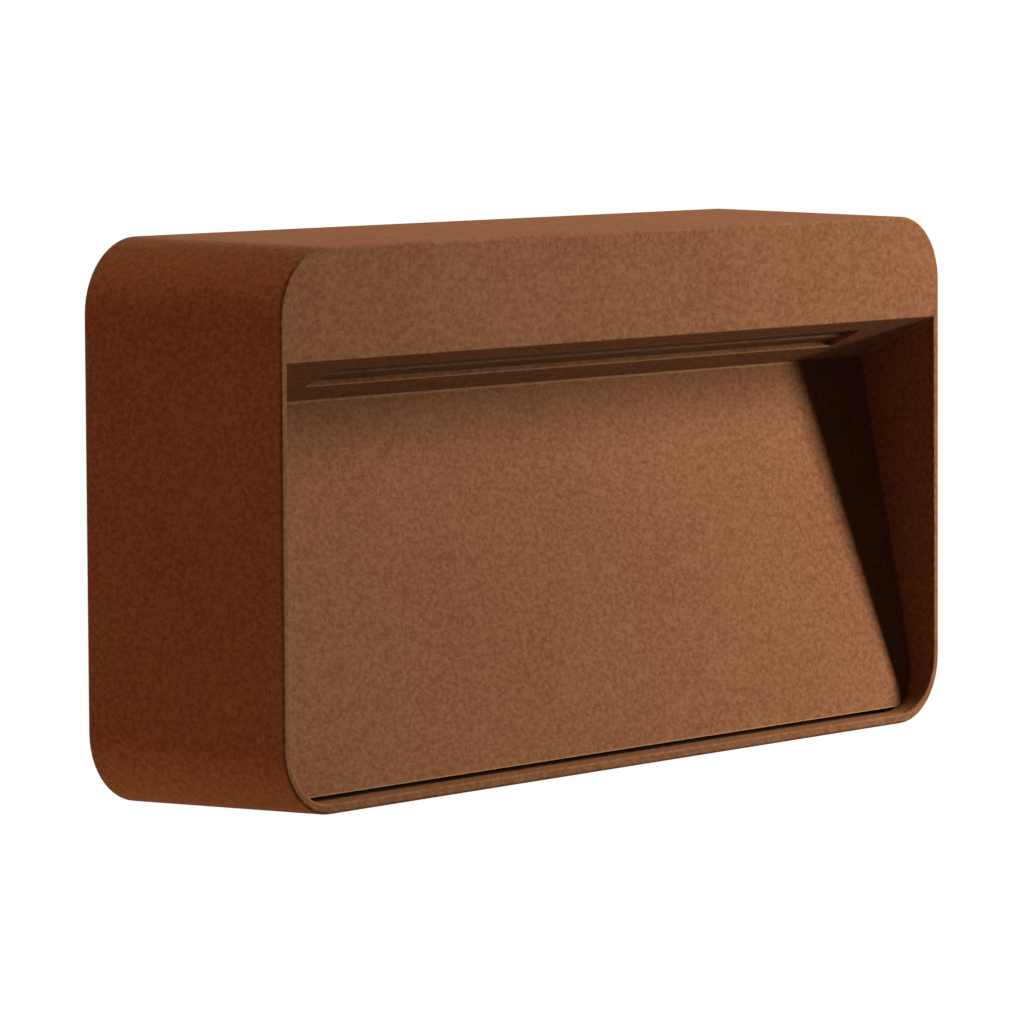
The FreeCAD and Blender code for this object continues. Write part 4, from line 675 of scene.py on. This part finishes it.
def bead_along_x(name, left, right, y, z, radius_mm, node, around=12):
    """A thin round bead from left to right along X, closed at both ends: a circle of radius 0, r, r
    and 0 at left, left, right and right."""
    angle = np.linspace(0.0, 2 * np.pi, around, endpoint=False)
    radius = np.array([0.0, 1.0, 1.0, 0.0])[:, None] * radius_mm * MM
    x = np.repeat(np.array([left, left, right, right])[:, None], around, axis=1)
    grid = np.stack([x, y + radius * np.cos(angle), z + radius * np.sin(angle)], axis=-1)
    return piece_from(name, grid.reshape(-1, 3), grid_faces(4, around), coat, node)


def panel_bead(node):
    """The bead lies just behind the panel's upper front edge, which holds its highest corners."""
    corners = corners_of(node)
    edge = corners[corners[:, 2] > corners[:, 2].max() - NEARLY]
    return bead_along_x("panel_bead", edge[:, 0].min(), edge[:, 0].max(),
                        edge[:, 1].mean() + BEAD_BACK_MM * MM, edge[:, 2].mean() + BEAD_UP_MM * MM,
                        BEAD_RADIUS_MM, node)


def glass_rail(node, holder):
    """A rail along the glass's lower face, at a share of its width from its front edge. It belongs
    to the holder, whose body and slot it takes."""
    corners = corners_of(node)
    face = corners[corners @ DOWN > (corners @ DOWN).max() - NEARLY]
    front, rear = face[np.argmin(face @ ALONG)], face[np.argmax(face @ ALONG)]
    y, z = (front + RAIL_PLACE * (rear - front))[1:]
    return bead_along_x("glass_rail", face[:, 0].min() + RAIL_SHORT_MM * MM,
                        face[:, 0].max() - RAIL_SHORT_MM * MM, y, z, RAIL_RADIUS_MM, holder)


bead = panel_bead("recess_panel")
rail = glass_rail("window_glass", "housing")
print("faces of bead and rail:", len(bead.data.polygons), len(rail.data.polygons))

# %% [markdown]
# ## Floor and backdrop
#
# The photograph is a cut-out on white. More light would whiten the backdrop too, but would wash
# out the object. So the world and the floor are drawn white where the camera, a reflection or the
# glass looks at them, and give next to no light. The floor is plain and keeps the object's shadow.

# %% A world and a floor that show as white
SHADE_REACH, OPEN_REACH = 0.5, 1.2         # the glow rises between these distances, in metres


def white_where_seen(tree, lit, seen):
    """Mixes a lit shader with a seen one, which the camera, reflections and glass show."""
    rays = add_node(tree, "ShaderNodeLightPath").outputs
    shown = rays["Is Camera Ray"]
    for kind in ("Is Glossy Ray", "Is Transmission Ray"):
        shown = add_node(tree, "ShaderNodeMath", {"operation": "MAXIMUM"},
                         {0: shown, 1: rays[kind]}).outputs[0]
    return add_node(tree, "ShaderNodeMixShader", inputs={0: shown, 1: lit, 2: seen}).outputs[0]


def make_world(level, colour):
    """A world that gives off a plain level of light and shows as white."""
    world = bpy.data.worlds.new("studio")
    world.use_nodes = True
    tree = world.node_tree
    tree.nodes.clear()
    lit = add_node(tree, "ShaderNodeBackground",
                   inputs={"Color": linear(colour), "Strength": level})
    seen = add_node(tree, "ShaderNodeBackground",
                    inputs={"Color": linear("#ffffff"), "Strength": 1.0})
    mixed = white_where_seen(tree, lit.outputs[0], seen.outputs[0])
    add_node(tree, "ShaderNodeOutputWorld", inputs={"Surface": mixed})
    bpy.context.scene.world = world
    return world


def make_floor(height, half_size):
    """A plain pale floor well below the light. Its own glow rises from 0.9 near the object to 1 far
    off, so that it runs into the white backdrop and still shows the object's shadow."""
    mesh = bpy.data.meshes.new("floor")
    corners = np.array([[-1, -1, 0], [1, -1, 0], [1, 1, 0], [-1, 1, 0]]) * half_size
    mesh.from_pydata((corners + [0, 0, height]).tolist(), [], [(0, 1, 2, 3)])
    floor = bpy.data.objects.new("floor", mesh)
    bpy.context.scene.collection.objects.link(floor)
    material = bpy.data.materials.new("pale_floor")
    material.use_nodes = True
    tree = material.node_tree
    tree.nodes.clear()
    place = add_node(tree, "ShaderNodeTexCoord").outputs["Object"]
    reach = add_node(tree, "ShaderNodeVectorMath", {"operation": "LENGTH"}, {0: place})
    glow = add_node(tree, "ShaderNodeMapRange", inputs={
        "Value": reach.outputs["Value"], "From Min": SHADE_REACH, "From Max": OPEN_REACH,
        "To Min": 0.9, "To Max": 1.0}).outputs[0]
    lit = add_node(tree, "ShaderNodeBsdfDiffuse", inputs={"Color": linear("#383838")})
    white = add_node(tree, "ShaderNodeEmission",
                     inputs={"Color": linear("#ffffff"), "Strength": glow})
    seen = add_node(tree, "ShaderNodeAddShader", inputs={0: lit.outputs[0], 1: white.outputs[0]})
    mixed = white_where_seen(tree, lit.outputs[0], seen.outputs[0])
    add_node(tree, "ShaderNodeOutputMaterial", inputs={"Surface": mixed})
    mesh.materials.append(material)
    return floor


world = make_world(level=0.004, colour="#ffe9d8")
floor = make_floor(height=-0.32, half_size=6.0)
print("backdrop:", world.name, "and", floor.name)

# %% [markdown]
# ## The lamps
#
# The key light stands to the right and a little above, near enough that the front is brighter at
# its right end. A point lamp would make every shadow hard and a wide one would make them all soft.
# This one is narrow and tall: the recess's right wall throws a sharp dark shadow on the panel,
# while the ceiling's shadow fades softly. A weak warm light from the left shows the side face, one
# from above and behind shows the top, and a small one from below shows the lower rounding.

# %% Four area lamps that face the object
LIGHT_MIDDLE = Vector((0.0, -25 * MM, 0.0))


def area_light(name, direction, distance, wide, tall, power, colour):
    """A soft lamp, wide by tall in metres, that stands in a direction from the object's middle, at
    a distance in metres, and faces it. Its power is in watts."""
    data = bpy.data.lights.new(name, "AREA")
    data.shape = "RECTANGLE"
    data.size, data.size_y = wide, tall
    data.energy = power
    data.color = linear(colour)[:3]
    lamp = bpy.data.objects.new(name, data)
    toward = Vector(direction).normalized()
    lamp.location = LIGHT_MIDDLE + toward * distance
    lamp.rotation_euler = (-toward).to_track_quat("-Z", "Y").to_euler()
    bpy.context.scene.collection.objects.link(lamp)
    return lamp


lamps = [
    area_light("key", direction=(1.54, -1.0, 0.62), distance=0.75, wide=0.1, tall=0.5,
               power=9.0, colour="#fff2e2"),
    area_light("side", direction=(-1.0, 0.01, -0.05), distance=1.2, wide=0.5, tall=0.5,
               power=3.6, colour="#ffb48e"),
    area_light("top", direction=(-0.12, 0.5, 1.0), distance=1.2, wide=0.5, tall=0.4,
               power=5.8, colour="#ffd6a0"),
    area_light("low", direction=(-0.4, 0.3, -0.8), distance=0.33, wide=0.12, tall=0.12,
               power=0.25, colour="#ffcc90"),
]
bpy.context.scene.view_settings.view_transform = "Standard"
print("lamps:", [lamp.name for lamp in lamps])
